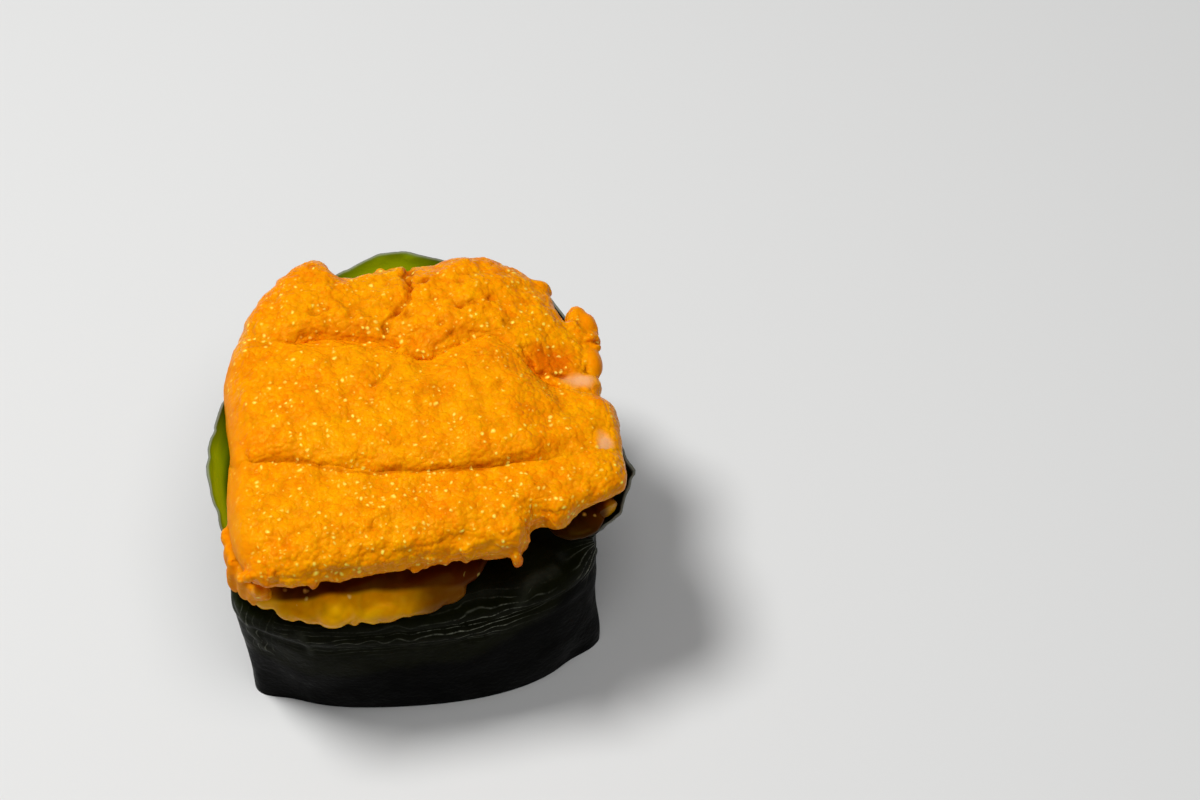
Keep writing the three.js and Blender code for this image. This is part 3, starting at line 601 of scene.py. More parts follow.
def noriMiddle(angle, up):
    # middle surface: walks up from the foot by short steps whose tilt turns at the crease
    steps = 120
    tilt, fold, width = (value[:, None] for value in noriStanding(angle))
    foot = cornered(angle, nori["footSides"], nori["footCorner"])[:, None]
    crease = cornered(angle, nori["creaseSides"], nori["creaseCorner"])[:, None]
    creaseLength = nori["width"] * nori["creaseShare"]
    lowerTilt = np.degrees(np.arcsin((crease - foot) / creaseLength))
    wallTilt, cornerTilt, spread = nori["wallBulge"]
    bulge = blend(wallTilt, cornerTilt, hump(turnBetween(angle, nori["footCorner"][0]), spread))[:, None]
    length = (np.arange(steps)[None, :] + 0.5) / steps * width
    bend = ramp(creaseLength - 1.2, creaseLength + 1.6, length)
    crumple = (fold * 26 * np.sin(2.1 * length + 0.05 * angle[:, None])
               * hump(length - creaseLength + 2.4, 2.2))
    lower = lowerTilt + bulge * (1 - 2 * np.minimum(1, length / creaseLength))
    now = np.radians(blend(lower, tilt, bend) + crumple)
    zero = np.zeros_like(foot)
    radius = foot + np.hstack([zero, np.cumsum(np.sin(now) * width / steps, 1)])
    height = np.hstack([zero, np.cumsum(np.cos(now) * width / steps, 1)])
    at = up * steps
    low = np.minimum(at.astype(int), steps - 1)
    t = at - low
    radius = radius[:, low] * (1 - t) + radius[:, low + 1] * t
    height = height[:, low] * (1 - t) + height[:, low + 1] * t
    c, s = np.cos(np.radians(angle))[:, None], np.sin(np.radians(angle))[:, None]
    return np.stack([radius * c, radius * s, height], -1), width


leftPillow = {
    "centre": (-9, -2.5), "bottom": 19.8, "top": 24.4,
    "sides": [(-92, 18.8), (0, 16.0), (90, 21.0), (180, 14.6)],
    "lobes": [
        [(-22.4, -14.6, 22.4), (1.6, 2.4, 2.4)], [(-20.0, -18.6, 21.6), (1.9, 1.6, 2.0)],
        [(-17.4, -20.2, 20.9), (2.0, 1.8, 1.6)], [(-15.2, -21.0, 21.0), (1.6, 1.9, 1.7)],
        [(-12.4, -21.3, 21.4), (2.9, 2.6, 2.2)], [(-7.2, -21.6, 21.0), (3.8, 2.1, 1.9)],
        [(-2.6, -21.2, 20.9), (3.2, 1.8, 1.7)], [(0.8, -20.5, 20.8), (2.5, 1.5, 1.4)],
    ],
    "crumbs": [([(-18.6, -20.6), (-16, -21.8), (-8, -22.8), (-1, -22.2)], 16, (0.5, 1.0), 0.3,
                (20.0, 21.6), 9)],
    "granule": 1.0, "granuleHeight": 0.05, "clump": (1.9, 2.2, 1.9), "clumpHeight": 0.16, "lump": 0.25,
    "voxel": lowerVoxel, "seed": 51,
}
rightPillow = {
    "centre": (15, 1.5), "bottom": 20.2, "top": 24.6,
    "sides": [(-125, 14.2), (-62, 16.6), (0, 8.2), (90, 16.4), (180, 8.0)],
    "lobes": [[(21.0, -13.0, 23.9), (1.5, 1.4, 1.2)], [(17.0, -14.2, 23.4), (3.5, 2.6, 0.9)]],
    "granule": 0.9, "granuleHeight": 0.06, "clump": (1.9, 2.2, 1.9), "clumpHeight": 0.14, "lump": 0.25,
    "voxel": lowerVoxel, "seed": 67, "lit": (21.7, -13.3),
}


def insideNori(points):
    # pulled towards the upright axis where it would reach past the standing wall of the nori
    step = 0.25
    angle, heights = np.arange(0, 361, 1.0), np.arange(17, 30, step)
    wall, _ = noriMiddle(angle, np.linspace(0, 1, 91))
    _, fold, _ = noriStanding(angle)
    reach = np.hypot(wall[..., 0], wall[..., 1])
    table = np.array([np.interp(heights, z, r) for z, r in zip(wall[..., 2], reach)]) - 0.5
    table[fold > 0.02] = 99                                           # folded in there: it rests on top
    turned = np.degrees(np.arctan2(points[:, 1], points[:, 0])) % 360
    a = turned.astype(int)
    h = np.clip((points[:, 2] - heights[0]) / step, 0, len(heights) - 1).astype(int)
    limit = blend(table[a, h], table[a + 1, h], turned - a)
    away = np.hypot(points[:, 0], points[:, 1])
    pulled = np.minimum(1, limit / np.maximum(away, 0.01))[:, None]
    return points * np.hstack([pulled, pulled, np.ones_like(pulled)])


def underLeft(x, y, z):
    # painted shade under the roe above: darker by how far up and back it lies, and away from the main lobe
    uneven = 4 * lumps(np.stack([x, y, z], 1), 2.6, 55)
    upward = 0.97 * ramp(2.6, 8.8, 6.2 * y + 5.2 * z + 14.5 + 0.33 * (x + 12.9) + uneven)
    beside = 0.3 * (1 - hump(x + 12.6, 6)) + 0.6 * ramp(-5, -0.5, x)
    return (1 - (1 - upward) * (1 - beside)) * ramp(-21, -18, x)


def underRight(x, y, z):
    # painted shade, darkest in front, apart from one soft painted lit spot at the right
    lit = 1 - ramp(0.1, 1.4, np.hypot(x - rightPillow["lit"][0], y - rightPillow["lit"][1]))
    return 0.97 + 0.03 * (1 - ramp(-17, -15, y)) - 0.6 * lit


leftPiece = roePiece("roeLowerLeft", leftPillow, underLeft)
rightPiece = roePiece("roeLowerRight", rightPillow, underRight)


def stripGrid():
    # turns and heights of the strip's grid, closer together where it is wrinkled
    turned = np.linspace(0, nori["turn"], 4000)
    facing = turnBetween(nori["startAngle"] + turned, -92)
    density = np.cumsum(1 + 1.4 * (1 - ramp(66, 80, np.abs(facing))))
    turned = np.interp(np.linspace(density[0], density[-1], nori["columns"]), density, turned)
    even = np.linspace(0, 1, nori["rows"] + 1)
    closer = np.cumsum(1 + 1.5 * ramp(0.3, 0.42, even) * (1 - ramp(0.68, 0.76, even)))
    return turned, (closer - closer[0]) / (closer[-1] - closer[0])


def creasePhase(signed, across, length):
    # number of turns whose whole ones are creases: along the strip, in a fan at the neck, upright at the left
    neckAngle, neckLength, fanStep = nori["fan"]
    besideNeck, aboveNeck = neckAngle * nori["mmPerDegree"] - across, length - neckLength
    stretched = np.stack([across / 4, length / 1.3, 0 * length], -1)
    band = length / nori["creaseStep"] + 0.5 * lumps(stretched, 1.0, 77)
    fan = np.degrees(np.arctan2(aboveNeck, np.maximum(besideNeck, 0.3))) / fanStep
    bend = 0.35 * lumps(np.stack([across, length, 0 * length], -1), 1.5, 78)
    phase = np.where(signed > -52, fan + bend, band + bend)
    phase = np.where(signed < -134, across / 0.8 + 2 * bend, phase)
    return phase, ramp(-0.2, 0.8, besideNeck)


def wrinkleMarks(across, length, shift):
    # rises with a shallow hollow beside them, painted highlights on the ridges, and how crumpled it is: bells
    # around each path
    wrinkle, ridgeHighlights, crumpled = np.zeros((3, *across.shape))
    for way, rise, breadth, highlightShare in nori["wrinkles"]:
        path = [(a * nori["mmPerDegree"], l) for a, l in way]
        away = awayFromPath((across + shift, length + shift), path)
        wrinkle += rise * (hump(away, breadth) - 0.5 * hump(away, 2.6 * breadth))
        ridgeHighlights = np.maximum(ridgeHighlights, highlightShare * hump(away, 0.8 * breadth))
    for way, reach, amount in nori["crumpled"]:
        away = awayFromPath((across, length), [(a * nori["mmPerDegree"], l) for a, l in way])
        crumpled = np.maximum(crumpled, amount * hump(away, reach))
    return wrinkle, ridgeHighlights, crumpled


def stripFaces(columns, count):
    # quads of the strip, whose columns are closed rings of count points, and caps across its two ends
    k = np.arange(count // 2 - 1)
    mate = count - 1 - k
    end = (columns - 1) * count
    startCap = np.stack([k, k + 1, mate - 1, mate], -1)
    endCap = np.stack([end + k, end + mate, end + mate - 1, end + k + 1], -1)
    return [gridFaces(columns, count)[:, ::-1], startCap, endCap]


def noriPiece():
    # strip of nori: middle surface moved out by the lap, the waves and the wrinkles, with an outer and an
    # inner face
    turned, rowShare = stripGrid()
    angle = nori["startAngle"] + turned
    middle, width = noriMiddle(angle, rowShare)
    up = np.broadcast_to(rowShare[None, :], middle.shape[:2])
    before, _ = noriMiddle(angle - 0.4, rowShare)
    after, _ = noriMiddle(angle + 0.4, rowShare)
    normals = np.cross(after - before, np.gradient(middle, axis=1))
    normals /= np.linalg.norm(normals, axis=-1, keepdims=True)
    share, lapStart = (turned / nori["turn"])[:, None], 360 / nori["turn"]
    eased = nori["layerStep"] * ramp(lapStart - 0.2, lapStart, share)
    flap = ramp(0.965, 1, share) ** 1.5 * (1 - ramp(0, 0.55, up))
    length = up * width
    spot = np.stack([middle[..., 0], middle[..., 1], length], -1)
    wave = lumps(spot, 5.0, 71) * 0.22 + lumps(spot, 2.0, 72) * 0.08
    creaseLength = nori["width"] * nori["creaseShare"]
    signed = np.broadcast_to(turnBetween(angle, 0)[:, None], up.shape)
    across = signed * nori["mmPerDegree"]
    wrinkle, ridgeHighlights, crumpled = wrinkleMarks(across, length, 0.25 * lumps(spot, 1.6, 75))
    phase, besideNeck = creasePhase(signed, across, length)
    frontBand = ramp(-112, -98, signed) * (1 - ramp(-74, -62, signed))
    frontBand = frontBand * hump(length - creaseLength + 1.6, 2.4)
    ripple = np.sin(6.4 * length + 9 * np.radians(signed) + 2.4 * lumps(spot, 2.6, 74))
    waves = wave * (0.4 + 0.6 * ramp(8, 18, length)) + wrinkle + 0.06 * frontBand * ripple
    offset = eased + nori["flapLift"] * flap + waves * ramp(0, 3, length)
    rim = ramp(0.9, 1, up) * (0.25 * lumps(spot, 1.2, 73))
    outerOffset = nori["outer"] - 0.04 + np.minimum(offset + rim, offset + 0.1)
    outer = middle + normals * outerOffset[..., None]
    inner = middle + normals * (outerOffset - nori["thickness"])[..., None]
    outer[:, 0, 2] = 0
    inner[:, 0, 2] = 0
    ring = np.concatenate([outer, inner[:, ::-1]], 1)
    columns, count = ring.shape[:2]
    points = ring.reshape(-1, 3)
    points[:, 2] = np.maximum(points[:, 2], 0)
    piece = meshFrom("noriBand", points, stripFaces(columns, count))
    toRim = width - length
    lit = sum(hump(turnBetween(signed, a), w) for a, w in nori["lit"])
    seen = 1 - ramp(*nori["tucked"][:2], signed) * (1 - ramp(*nori["tucked"][2:], signed))
    above = length - np.interp(signed, *np.array(nori["sheenFrom"], float).T)
    # painted light: green glow through the nori at the left and back, rim highlight, sheen and crease
    # highlights
    masks = {"glowThrough": np.clip(1.3 * lit, 0, 1) * (1 - ramp(*nori["litDepth"], toRim)),
             "edge": (1 - ramp(*nori["rimLine"], toRim)) * seen, "ridgeHighlight": ridgeHighlights, "toRim": toRim,
             "sheen": ramp(-0.8, 1.2, above + 0.6 * lumps(spot, 2.2, 76)),
             "crumpled": crumpled * besideNeck, "phase": phase}
    both = {name: np.concatenate([values, values[:, ::-1]], 1).ravel() for name, values in masks.items()}
    innerSide = np.zeros((columns, count))
    innerSide[:, count // 2:] = 1
    paint(piece, inside=innerSide.ravel(), **both)
    print("noriBand", len(points), "points")
    return piece


noriBand = noriPiece()

rice = {
    "columns": 120, "edgeHeight": 17.2, "domeRise": 2.6, "gap": 0.7,
    "grainStep": 2.5, "grainHeight": (0.75, 0.3), "gapsFrom": (0.2, 1.2), "gapsTo": (2, 3),
    "grainHalf": (2.3, 1.15, 1.1), "voxel": 0.3, "seed": 83,
}


def ricePiece():
    # block inside the nori under a low dome, its underside packed with grains lying in all directions
    angle = 360 * np.arange(rice["columns"])[None, :] / rice["columns"]
    foot = cornered(angle, nori["footSides"], nori["footCorner"])
    crease = cornered(angle, nori["creaseSides"], nori["creaseCorner"])
    c, s = np.cos(np.radians(angle)), np.sin(np.radians(angle))
    inset = np.concatenate([np.linspace(0.1, 0.94, 10), np.ones(12), np.linspace(0.95, 0.1, 12)])[:, None]
    wall = np.linspace(1.6, rice["edgeHeight"], 12)
    height = np.concatenate([np.full(10, 0.9), wall, np.zeros(12)])[:, None]
    dome = np.concatenate([np.zeros(22), np.ones(12)])[:, None]
    height = height + dome * (rice["edgeHeight"] + rice["domeRise"] * (1 - inset ** 4))
    up = np.clip(height / rice["edgeHeight"], 0, 1)
    radius = (blend(foot, crease, up * 0.9) - rice["gap"]) * inset
    rings = np.stack([radius * c, radius * s, height + 0 * radius], -1)
    top = rice["edgeHeight"] + rice["domeRise"]
    shells = [closedShell([0, 0, 0.9], rings, [0, 0, top])]
    rng = np.random.default_rng(rice["seed"])
    step = rice["grainStep"]
    row, column = np.meshgrid(np.arange(-10, 11), np.arange(-10, 11), indexing="ij")
    place = np.stack([row * step + (column % 2) * step / 2, column * step * 0.87], -1).reshape(-1, 2)
    place = place + rng.uniform(-0.6, 0.6, place.shape)
    turned = rng.uniform(0, np.pi, len(place))
    size = rng.uniform(0.85, 1.1, len(place))
    towards = np.degrees(np.arctan2(place[:, 1], place[:, 0]))
    room = cornered(towards, nori["footSides"], nori["footCorner"]) - 2.0
    inside = np.hypot(place[:, 0], place[:, 1]) < room
    half = rice["grainHalf"]
    for (x, y), t, k in zip(place[inside], turned[inside], size[inside]):
        at = (x, y, rice["grainHeight"][0] + rice["grainHeight"][1] * rng.random())
        shells.append(lobeShell(at, (half[0] * k, half[1] * k, half[2]), t, 16, 10))
    points, quads = fused(shells, rice["voxel"])
    points = relaxed(points, quads, 1)
    points[:, 2] = np.maximum(points[:, 2], 0)
    piece = meshFrom("riceBlock", points, [quads])
    height = points[:, 2]
    # painted shade between the grains, in a band just above the foot
    paint(piece, hollow=ramp(*rice["gapsFrom"], height) * (1 - ramp(*rice["gapsTo"], height)))
    print("riceBlock", len(points), "points")
    return piece


riceBlock = ricePiece()


def newMaterial(name):
    # gives the material, its node tree and its shader
    material = bpy.data.materials.new(name)
    material.use_nodes = True
    tree = material.node_tree
    return material, tree, tree.nodes["Principled BSDF"]


def setInputs(tree, node, inputs):
    # links sockets, and sets numbers and colours
    for key, value in inputs.items():
        if isinstance(value, bpy.types.NodeSocket):
            tree.links.new(value, node.inputs[key])
        else:
            node.inputs[key].default_value = value


def addNode(tree, kind, inputs=None, **settings):
    # nodes stand in rows of ten, in the order they are made
    node = tree.nodes.new("ShaderNode" + kind)
    row, column = divmod(len(tree.nodes), 10)
    node.location = (220 * column - 2200, 600 - 300 * row)
    for key, value in settings.items():
        setattr(node, key, value)
    setInputs(tree, node, inputs or {})
    return node


def mixColor(tree, share, a, b):
    # colour a where share is 0, b where it is 1
    return addNode(tree, "Mix", {0: share, 6: a, 7: b}, data_type="RGBA").outputs[2]


def mathNode(tree, how, a, b):
    return addNode(tree, "Math", {0: a, 1: b}, operation=how).outputs[0]


def times(tree, a, b):
    return mathNode(tree, "MULTIPLY", a, b)


def plus(tree, a, b):
    return mathNode(tree, "ADD", a, b)


def mapRange(tree, value, low=0.0, high=1.0, toLow=0.0, toHigh=1.0):
    # straight from toLow at low to toHigh at high, and held beyond
    return addNode(tree, "MapRange", {"Value": value, "From Min": low, "From Max": high,
                                      "To Min": toLow, "To Max": toHigh}).outputs["Result"]


def noise(tree, place, scale, detail, roughness=0.5, output="Fac"):
    return addNode(tree, "TexNoise", {"Vector": place, "Scale": scale, "Detail": detail,
                                      "Roughness": roughness}).outputs[output]


def readMasks(tree, *names):
    # numbers painted on the mesh
    return [addNode(tree, "Attribute", attribute_name=name, attribute_type="GEOMETRY").outputs["Fac"]
            for name in names]


def objectPlace(tree):
    return addNode(tree, "TexCoord").outputs["Object"]


def bumpNormal(tree, height, strength, distance):
    return addNode(tree, "Bump", {"Height": height, "Strength": strength,
                                  "Distance": distance}).outputs["Normal"]


def newGroup(name, inputs):
    # node group with number inputs and their first values; gives the group and the sockets inside
    group = bpy.data.node_groups.new(name, "ShaderNodeTree")
    for label, value in inputs.items():
        socket = group.interface.new_socket(label, in_out="INPUT", socket_type="NodeSocketFloat")
        socket.default_value = value
    return group, group.nodes.new("NodeGroupInput").outputs


def closeGroup(group, results):
    # one number output for each result
    for label in results:
        group.interface.new_socket(label, in_out="OUTPUT", socket_type="NodeSocketFloat")
    setInputs(group, group.nodes.new("NodeGroupOutput"), results)
    return group


skinShape = {"fine": (2.0, 0.6), "patch": (3.0, 0.55), "patchRange": (0.35, 0.65)}    # detail, roughness


def makeWetSkin():
    # fine wet skin: small bumps, and patches where the film of water is thicker and smoother
    group, given = newGroup("wetSkin", {"Bump size": 2500.0, "Patch size": 300.0, "Dry roughness": 0.4,
                                        "Wet roughness": 0.15})
    place = objectPlace(group)
    fine = noise(group, place, given["Bump size"], *skinShape["fine"])
    patches = noise(group, place, given["Patch size"], *skinShape["patch"])
    patch = mapRange(group, patches, *skinShape["patchRange"])
    rough = mapRange(group, patch, toLow=given["Dry roughness"], toHigh=given["Wet roughness"])
    return closeGroup(group, {"Height": fine, "Roughness": rough})


granuleShape = {
    "wanderScale": 900.0, "wander": (0.0007, 0.0007, 0.0007), "loose": 0.9, "softness": 0.45,
    "gap": (0.42, 0.75), "crowdScale": 260.0, "crowdRange": (0.4, 0.6), "crowding": 0.12,
    "weakestSpot": 0.35, "spotEdge": 0.3,
}


def makePackedGranules():
    # packed cells with wandering edges: domes 1 - distance^2, the gaps between them for painted shade, a tone
    # for each, and on top of some a painted glint, of which there are more in some places than in others
    group, given = newGroup("packedGranules", {"Granules per metre": 1400.0, "Share with spots": 0.15,
                                               "Spot size": 0.25})
    shape, place = granuleShape, objectPlace(group)
    wander = noise(group, place, shape["wanderScale"], 1.0, output="Color")
    shift = addNode(group, "VectorMath", {0: wander, 1: shape["wander"]}, operation="MULTIPLY").outputs[0]
    bent = addNode(group, "VectorMath", {0: place, 1: shift}, operation="ADD").outputs[0]
    packing = {"Vector": bent, "Scale": given["Granules per metre"], "Randomness": shape["loose"]}
    softPacking = {**packing, "Smoothness": shape["softness"]}
    cells = addNode(group, "TexVoronoi", packing).outputs
    soft = addNode(group, "TexVoronoi", softPacking, feature="SMOOTH_F1").outputs
    dome = mathNode(group, "SUBTRACT", 1.0, times(group, soft["Distance"], soft["Distance"]))
    gap = mapRange(group, cells["Distance"], *shape["gap"])
    number = addNode(group, "SeparateColor", {"Color": cells["Color"]}).outputs
    bright = mapRange(group, number["Blue"], toLow=shape["weakestSpot"])
    radius = times(group, given["Spot size"], bright)
    near = mapRange(group, cells["Distance"], radius, times(group, radius, shape["spotEdge"]))
    crowd = mapRange(group, noise(group, place, shape["crowdScale"], 1.0), *shape["crowdRange"],
                     shape["crowding"], -shape["crowding"])
    limit = plus(group, mathNode(group, "SUBTRACT", 1.0, given["Share with spots"]), crowd)
    chosen = mathNode(group, "GREATER_THAN", number["Red"], limit)
    spot = times(group, near, times(group, chosen, bright))
    return closeGroup(group, {"Height": dome, "Gap": gap, "Glint": spot, "Tone": number["Green"]})


wetSkin = makeWetSkin()
packedGranules = makePackedGranules()


def wetFilm(tree, look):
    # the wet skin with the values of a look
    return addNode(tree, "Group", {"Bump size": look["bumpSize"], "Patch size": look["patchSize"],
                                   "Dry roughness": look["dry"], "Wet roughness": look["wet"]},
                   node_tree=wetSkin).outputs


# looks of the roe: the dark orange and brown colours are painted shade, the bright yellow spot colour painted
# glints
upperRoeLook = {
    "body": (0.94, 0.26, 0.0004, 1), "yellow": (0.97, 0.36, 0.0006, 1), "light": (0.98, 0.45, 0.001, 1),
    "grooveShade": (0.74, 0.14, 0.0003, 1), "shade": (0.70, 0.125, 0.0003, 1), "deepShade": (0.38, 0.045, 0.0002, 1),
    "paintedShadowColor": (0.02, 0.006, 0.0001, 1), "skin": (0.82, 0.235, 0.0005, 1), "pale": (0.82, 0.43, 0.20, 1),
    "spot": (1.0, 0.83, 0.12, 1), "glintShare": 0.22, "glintSize": 0.52, "granules": 1600.0,
    "patches": 170.0, "patchRange": (0.38, 0.66), "toneShare": 0.5, "gapShare": 0.1,
    "valleyShare": 0.15, "skinShare": 0.8,
    "bumpSize": 3000.0, "patchSize": 420.0, "fineShare": 0.25, "bump": 0.55, "bumpDepth": 0.00035,
    "dry": 0.36, "wet": 0.2, "smoothRoughness": 0.45, "hollowRoughness": 0.3, "leastRoughness": 0.1,
    "scatter": 0.25, "scatterReach": (1.0, 0.42, 0.08), "scatterScale": 0.0008,
    "gloss": 0.13, "glossTint": (1.0, 0.74, 0.06, 1),
}
lowerRoeLook = {
    **upperRoeLook,
    "body": (0.95, 0.39, 0.0006, 1), "yellow": (0.99, 0.50, 0.0008, 1), "light": (1.0, 0.56, 0.0015, 1),
    "grooveShade": (0.62, 0.2, 0.0006, 1), "deepShade": (0.085, 0.012, 0.0002, 1), "spot": (1.0, 0.80, 0.2, 1),
    "glintShare": 0.26, "glintSize": 0.32, "granules": 800.0, "patches": 260.0, "toneShare": 0.3,
    "valleyShare": 0.2, "bumpSize": 900.0, "bump": 0.25, "dry": 0.3, "wet": 0.12, "scatter": 0.3,
    "gloss": 0.16,
}


def roeMaterial(name, look):
    # roe: painted shade, darker and redder, in hollows; yellower on some granules and patches; painted
    # glints;
    # under a thin wet film
    material, tree, shader = newMaterial(name)
    hollow, valley, shade, dim = readMasks(tree, "hollow", "valley", "shade", "dim")
    smooth, pale, glossy, sparkle = readMasks(tree, "smooth", "pale", "glossy", "sparkle")
    pack = addNode(tree, "Group", {"Granules per metre": look["granules"], "Spot size": look["glintSize"],
                                   "Share with spots": plus(tree, sparkle, look["glintShare"])},
                   node_tree=packedGranules).outputs
    grainy = mathNode(tree, "SUBTRACT", 1.0, smooth)
    patches = mapRange(tree, noise(tree, objectPlace(tree), look["patches"], 3.0), *look["patchRange"])
    # the groove, shade, hollow and darkest layers are painted shade; the last layer is painted glints
    layers = [   # share and colour, one over the other
        (patches, "yellow"), (times(tree, pack["Tone"], look["toneShare"]), "light"),
        (times(tree, times(tree, pack["Gap"], look["gapShare"]), grainy), "grooveShade"),
        (times(tree, valley, look["valleyShare"]), "grooveShade"), (shade, "shade"), (hollow, "deepShade"),
        (dim, "paintedShadowColor"), (times(tree, smooth, look["skinShare"]), "skin"),
        (times(tree, pale, look["skinShare"]), "pale"), (times(tree, pack["Glint"], grainy), "spot"),
    ]
    color = look["body"]
    for share, layer in layers:
        color = mixColor(tree, share, color, look[layer])
    wet = wetFilm(tree, look)
    drier = times(tree, mathNode(tree, "SUBTRACT", smooth, glossy), look["smoothRoughness"])
    dull = plus(tree, drier, times(tree, hollow, look["hollowRoughness"]))
    film = plus(tree, wet["Roughness"], dull)
    height = plus(tree, times(tree, pack["Height"], grainy), times(tree, wet["Height"], look["fineShare"]))
    setInputs(tree, shader, {
        "Base Color": color, "Roughness": mathNode(tree, "MAXIMUM", film, look["leastRoughness"]),
        "Normal": bumpNormal(tree, height, look["bump"], look["bumpDepth"]),
        "Subsurface Weight": look["scatter"], "Subsurface Radius": look["scatterReach"],
        "Subsurface Scale": look["scatterScale"], "Specular IOR Level": look["gloss"],
        "Specular Tint": look["glossTint"],
    })
    return material


noriLook = {
    # apart from the near-black and the black, these colours are painted light: sheen, rim and crease
    # highlights and the green glow through the nori
    "dark": (0.0006, 0.0006, 0.0003, 1), "paintedSheen": (0.0062, 0.0068, 0.0012, 1),
    "edge": (0.18, 0.185, 0.15, 1), "ridgeHighlight": (0.30, 0.31, 0.24, 1), "greenRim": (0.125, 0.175, 0.001, 1),
    "greenDeep": (0.28, 0.29, 0.002, 1), "greenOutside": (0.03, 0.05, 0.002, 1),
    "litThrough": (0.10, 0.155, 0.0005, 1), "unlit": (0, 0, 0, 1),
    "rimDepth": 2.0, "rimLight": 0.55, "creaseLine": (0.13, 0.02), "fibres": 900.0,      # depth in mm
    "mottleRange": (0.35, 0.7), "leastMottle": 0.5, "creaseRange": (0.38, 0.62),
    "bumpSize": 1500.0, "patchSize": 260.0, "bump": 0.35, "bumpDepth": 0.0002, "dry": 0.5, "wet": 0.28,
    "gloss": 0.015,
}


def noriMaterial():
    # near-black green seaweed with fibres: painted sheen on its upper band, painted highlights on its folds,
    # creases and rim, and a painted green glow where light comes through
    look = noriLook
    material, tree, shader = newMaterial("wetNori")
    glowThrough, inside, edge, sheen = readMasks(tree, "glowThrough", "inside", "edge", "sheen")
    toRim, ridgeHighlight, phase, crumpled = readMasks(tree, "toRim", "ridgeHighlight", "phase", "crumpled")
    fibre = noise(tree, objectPlace(tree), look["fibres"], 5.0, 0.7)
    mottle = mapRange(tree, fibre, *look["mottleRange"], toLow=look["leastMottle"])
    # painted sheen: lighter over the upper band, mottled by the fibres
    body = mixColor(tree, times(tree, mottle, sheen), look["dark"], look["paintedSheen"])
    # painted green glow where light comes through: brighter away from the rim on the inner face, weaker
    # outside
    toEdge = mapRange(tree, toRim, 0.0, look["rimDepth"])
    innerGreen = mixColor(tree, toEdge, look["greenRim"], look["greenDeep"])
    lit = mixColor(tree, glowThrough, body, mixColor(tree, inside, look["greenOutside"], innerGreen))
    # painted highlight lines on the fine creases and on the ridges
    line = mapRange(tree, mathNode(tree, "PINGPONG", phase, 0.5), *look["creaseLine"])
    drawn = times(tree, line, crumpled)
    crease = times(tree, drawn, mapRange(tree, fibre, *look["creaseRange"]))
    pleat = mathNode(tree, "MAXIMUM", crease, times(tree, ridgeHighlight, fibre))
    folded = mixColor(tree, pleat, lit, look["ridgeHighlight"])
    wet = wetFilm(tree, look)
    # the painted glow through the nori is also given as emission
    fromRim = mapRange(tree, toEdge, toLow=look["rimLight"])
    through = times(tree, fromRim, times(tree, glowThrough, inside))
    # the painted rim highlight goes over the base colour, and the painted glow is the emission
    setInputs(tree, shader, {
        "Base Color": mixColor(tree, edge, folded, look["edge"]), "Roughness": wet["Roughness"],
        "Normal": bumpNormal(tree, plus(tree, wet["Height"], drawn), look["bump"], look["bumpDepth"]),
        "Emission Color": mixColor(tree, through, look["unlit"], look["litThrough"]),
        "Emission Strength": 1.0, "Specular IOR Level": look["gloss"],
    })
    return material


riceLook = {
    "grain": (0.80, 0.76, 0.66, 1), "between": (0.55, 0.50, 0.40, 1), "bumpSize": 700.0, "patchSize": 300.0,
    "bump": 0.2, "bumpDepth": 0.0002, "dry": 0.5, "wet": 0.3, "scatter": 0.2, "scatterReach": (1.0, 0.8, 0.6),
    "scatterScale": 0.001,
}


def riceMaterial():
    # cooked rice: milky white, with painted shade between the grains, under a wet film
    look = riceLook
    material, tree, shader = newMaterial("cookedRice")
    hollow, = readMasks(tree, "hollow")
    wet = wetFilm(tree, look)
    setInputs(tree, shader, {
        "Base Color": mixColor(tree, hollow, look["grain"], look["between"]), "Roughness": wet["Roughness"],
        "Normal": bumpNormal(tree, wet["Height"], look["bump"], look["bumpDepth"]),
        "Subsurface Weight": look["scatter"], "Subsurface Radius": look["scatterReach"],
        "Subsurface Scale": look["scatterScale"],
    })
    return material


upperRoe = roeMaterial("upperRoe", upperRoeLook)
lowerRoe = roeMaterial("lowerRoe", lowerRoeLook)
wetNori = noriMaterial()
cookedRice = riceMaterial()

fittings = [
    (backPiece, "uni_back", "roe", upperRoe), (middlePiece, "uni_middle", "roe", upperRoe),
    (frontPiece, "uni_front", "roe", upperRoe), (leftPiece, "uni_lower_left", "lower_roe", lowerRoe),
    (rightPiece, "uni_lower_right", "lower_roe", lowerRoe), (noriBand, "nori", "nori", wetNori),
    (riceBlock, "rice", "rice", cookedRice),
]
for piece, node, slot, material in fittings:
    piece.data.materials.append(material)
    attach(piece, "root")
    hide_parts(node)
print("finishes given to", len(fittings), "pieces")

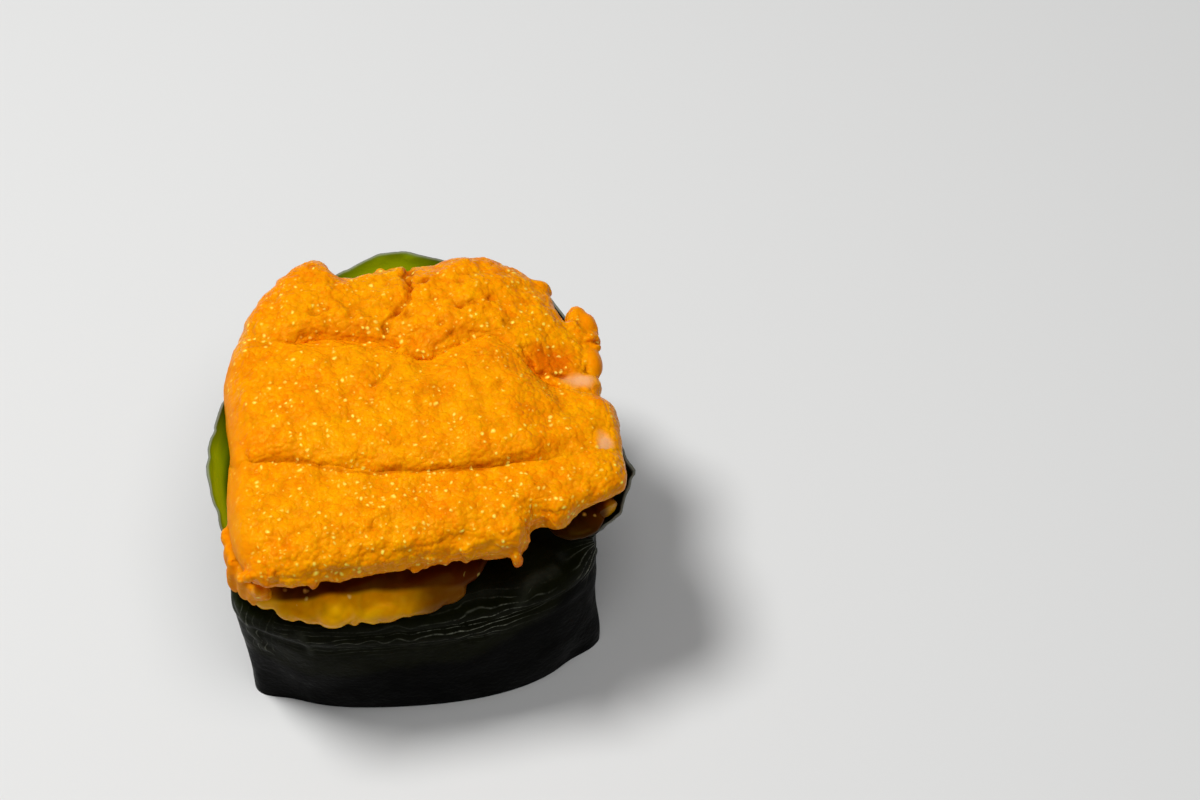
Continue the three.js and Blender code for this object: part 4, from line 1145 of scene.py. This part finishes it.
studio = {
    "floor": 2.0, "floorColor": (0.72, 0.72, 0.71, 1), "floorRoughness": 0.7,
    "world": (0.9, 0.93, 1.0, 1), "worldStrength": 0.07, "aim": (0, 0, 0.02), "lens": 97.2,
    "lights": {    # place, size, power
        "keySoft": ((-0.24, 0.10, 0.60), 0.2, 3.42), "overhead": ((0.1, -0.2, 0.68), 0.4, 1.6),
    },
}


def makeFloor():
    # pale square, its half size from the studio
    half = studio["floor"]
    mesh = bpy.data.meshes.new("floor")
    corners = [(-half, -half, 0), (half, -half, 0), (half, half, 0), (-half, half, 0)]
    mesh.from_pydata(corners, [], [(0, 1, 2, 3)])
    floor = bpy.data.objects.new("floor", mesh)
    bpy.context.scene.collection.objects.link(floor)
    material, tree, shader = newMaterial("paleFloor")
    setInputs(tree, shader, {"Base Color": studio["floorColor"], "Roughness": studio["floorRoughness"]})
    mesh.materials.append(material)


def makeLight(name, place, size, power):
    # round soft light whose back axis points from the piece to the light
    data = bpy.data.lights.new(name, "AREA")
    data.shape = "DISK"
    data.size = size
    data.energy = power
    lamp = bpy.data.objects.new(name, data)
    bpy.context.scene.collection.objects.link(lamp)
    back = np.array(place, float) - np.array(studio["aim"], float)
    back /= np.linalg.norm(back)
    right = np.cross([0, 1, 0.001], back)
    right /= np.linalg.norm(right)
    up = np.cross(back, right)
    turned = Matrix([[right[0], up[0], back[0], place[0]], [right[1], up[1], back[1], place[1]],
                     [right[2], up[2], back[2], place[2]], [0, 0, 0, 1]])
    lamp.matrix_world = turned


makeFloor()
for name, (place, size, power) in studio["lights"].items():
    makeLight(name, place, size, power)
world = bpy.data.worlds.new("studioAir")
world.use_nodes = True
setInputs(world.node_tree, world.node_tree.nodes["Background"],
          {"Color": studio["world"], "Strength": studio["worldStrength"]})
bpy.context.scene.world = world
bpy.context.scene.view_settings.view_transform = "Standard"

cameraData = bpy.data.cameras.new("camera")
cameraData.sensor_width = 36
cameraData.lens = studio["lens"]
cameraData.clip_start = 0.01
camera = bpy.data.objects.new("camera", cameraData)
bpy.context.scene.collection.objects.link(camera)
camera.matrix_world = Matrix([
    [0.99026807, 0.10661278, -0.08945874, -0.013029],
    [-0.1391731, 0.75858935, -0.63653204, -0.248833],
    [0.0, 0.64278761, 0.76604444, 0.327878],
    [0, 0, 0, 1],
])
bpy.context.scene.camera = camera
print("studio ready")
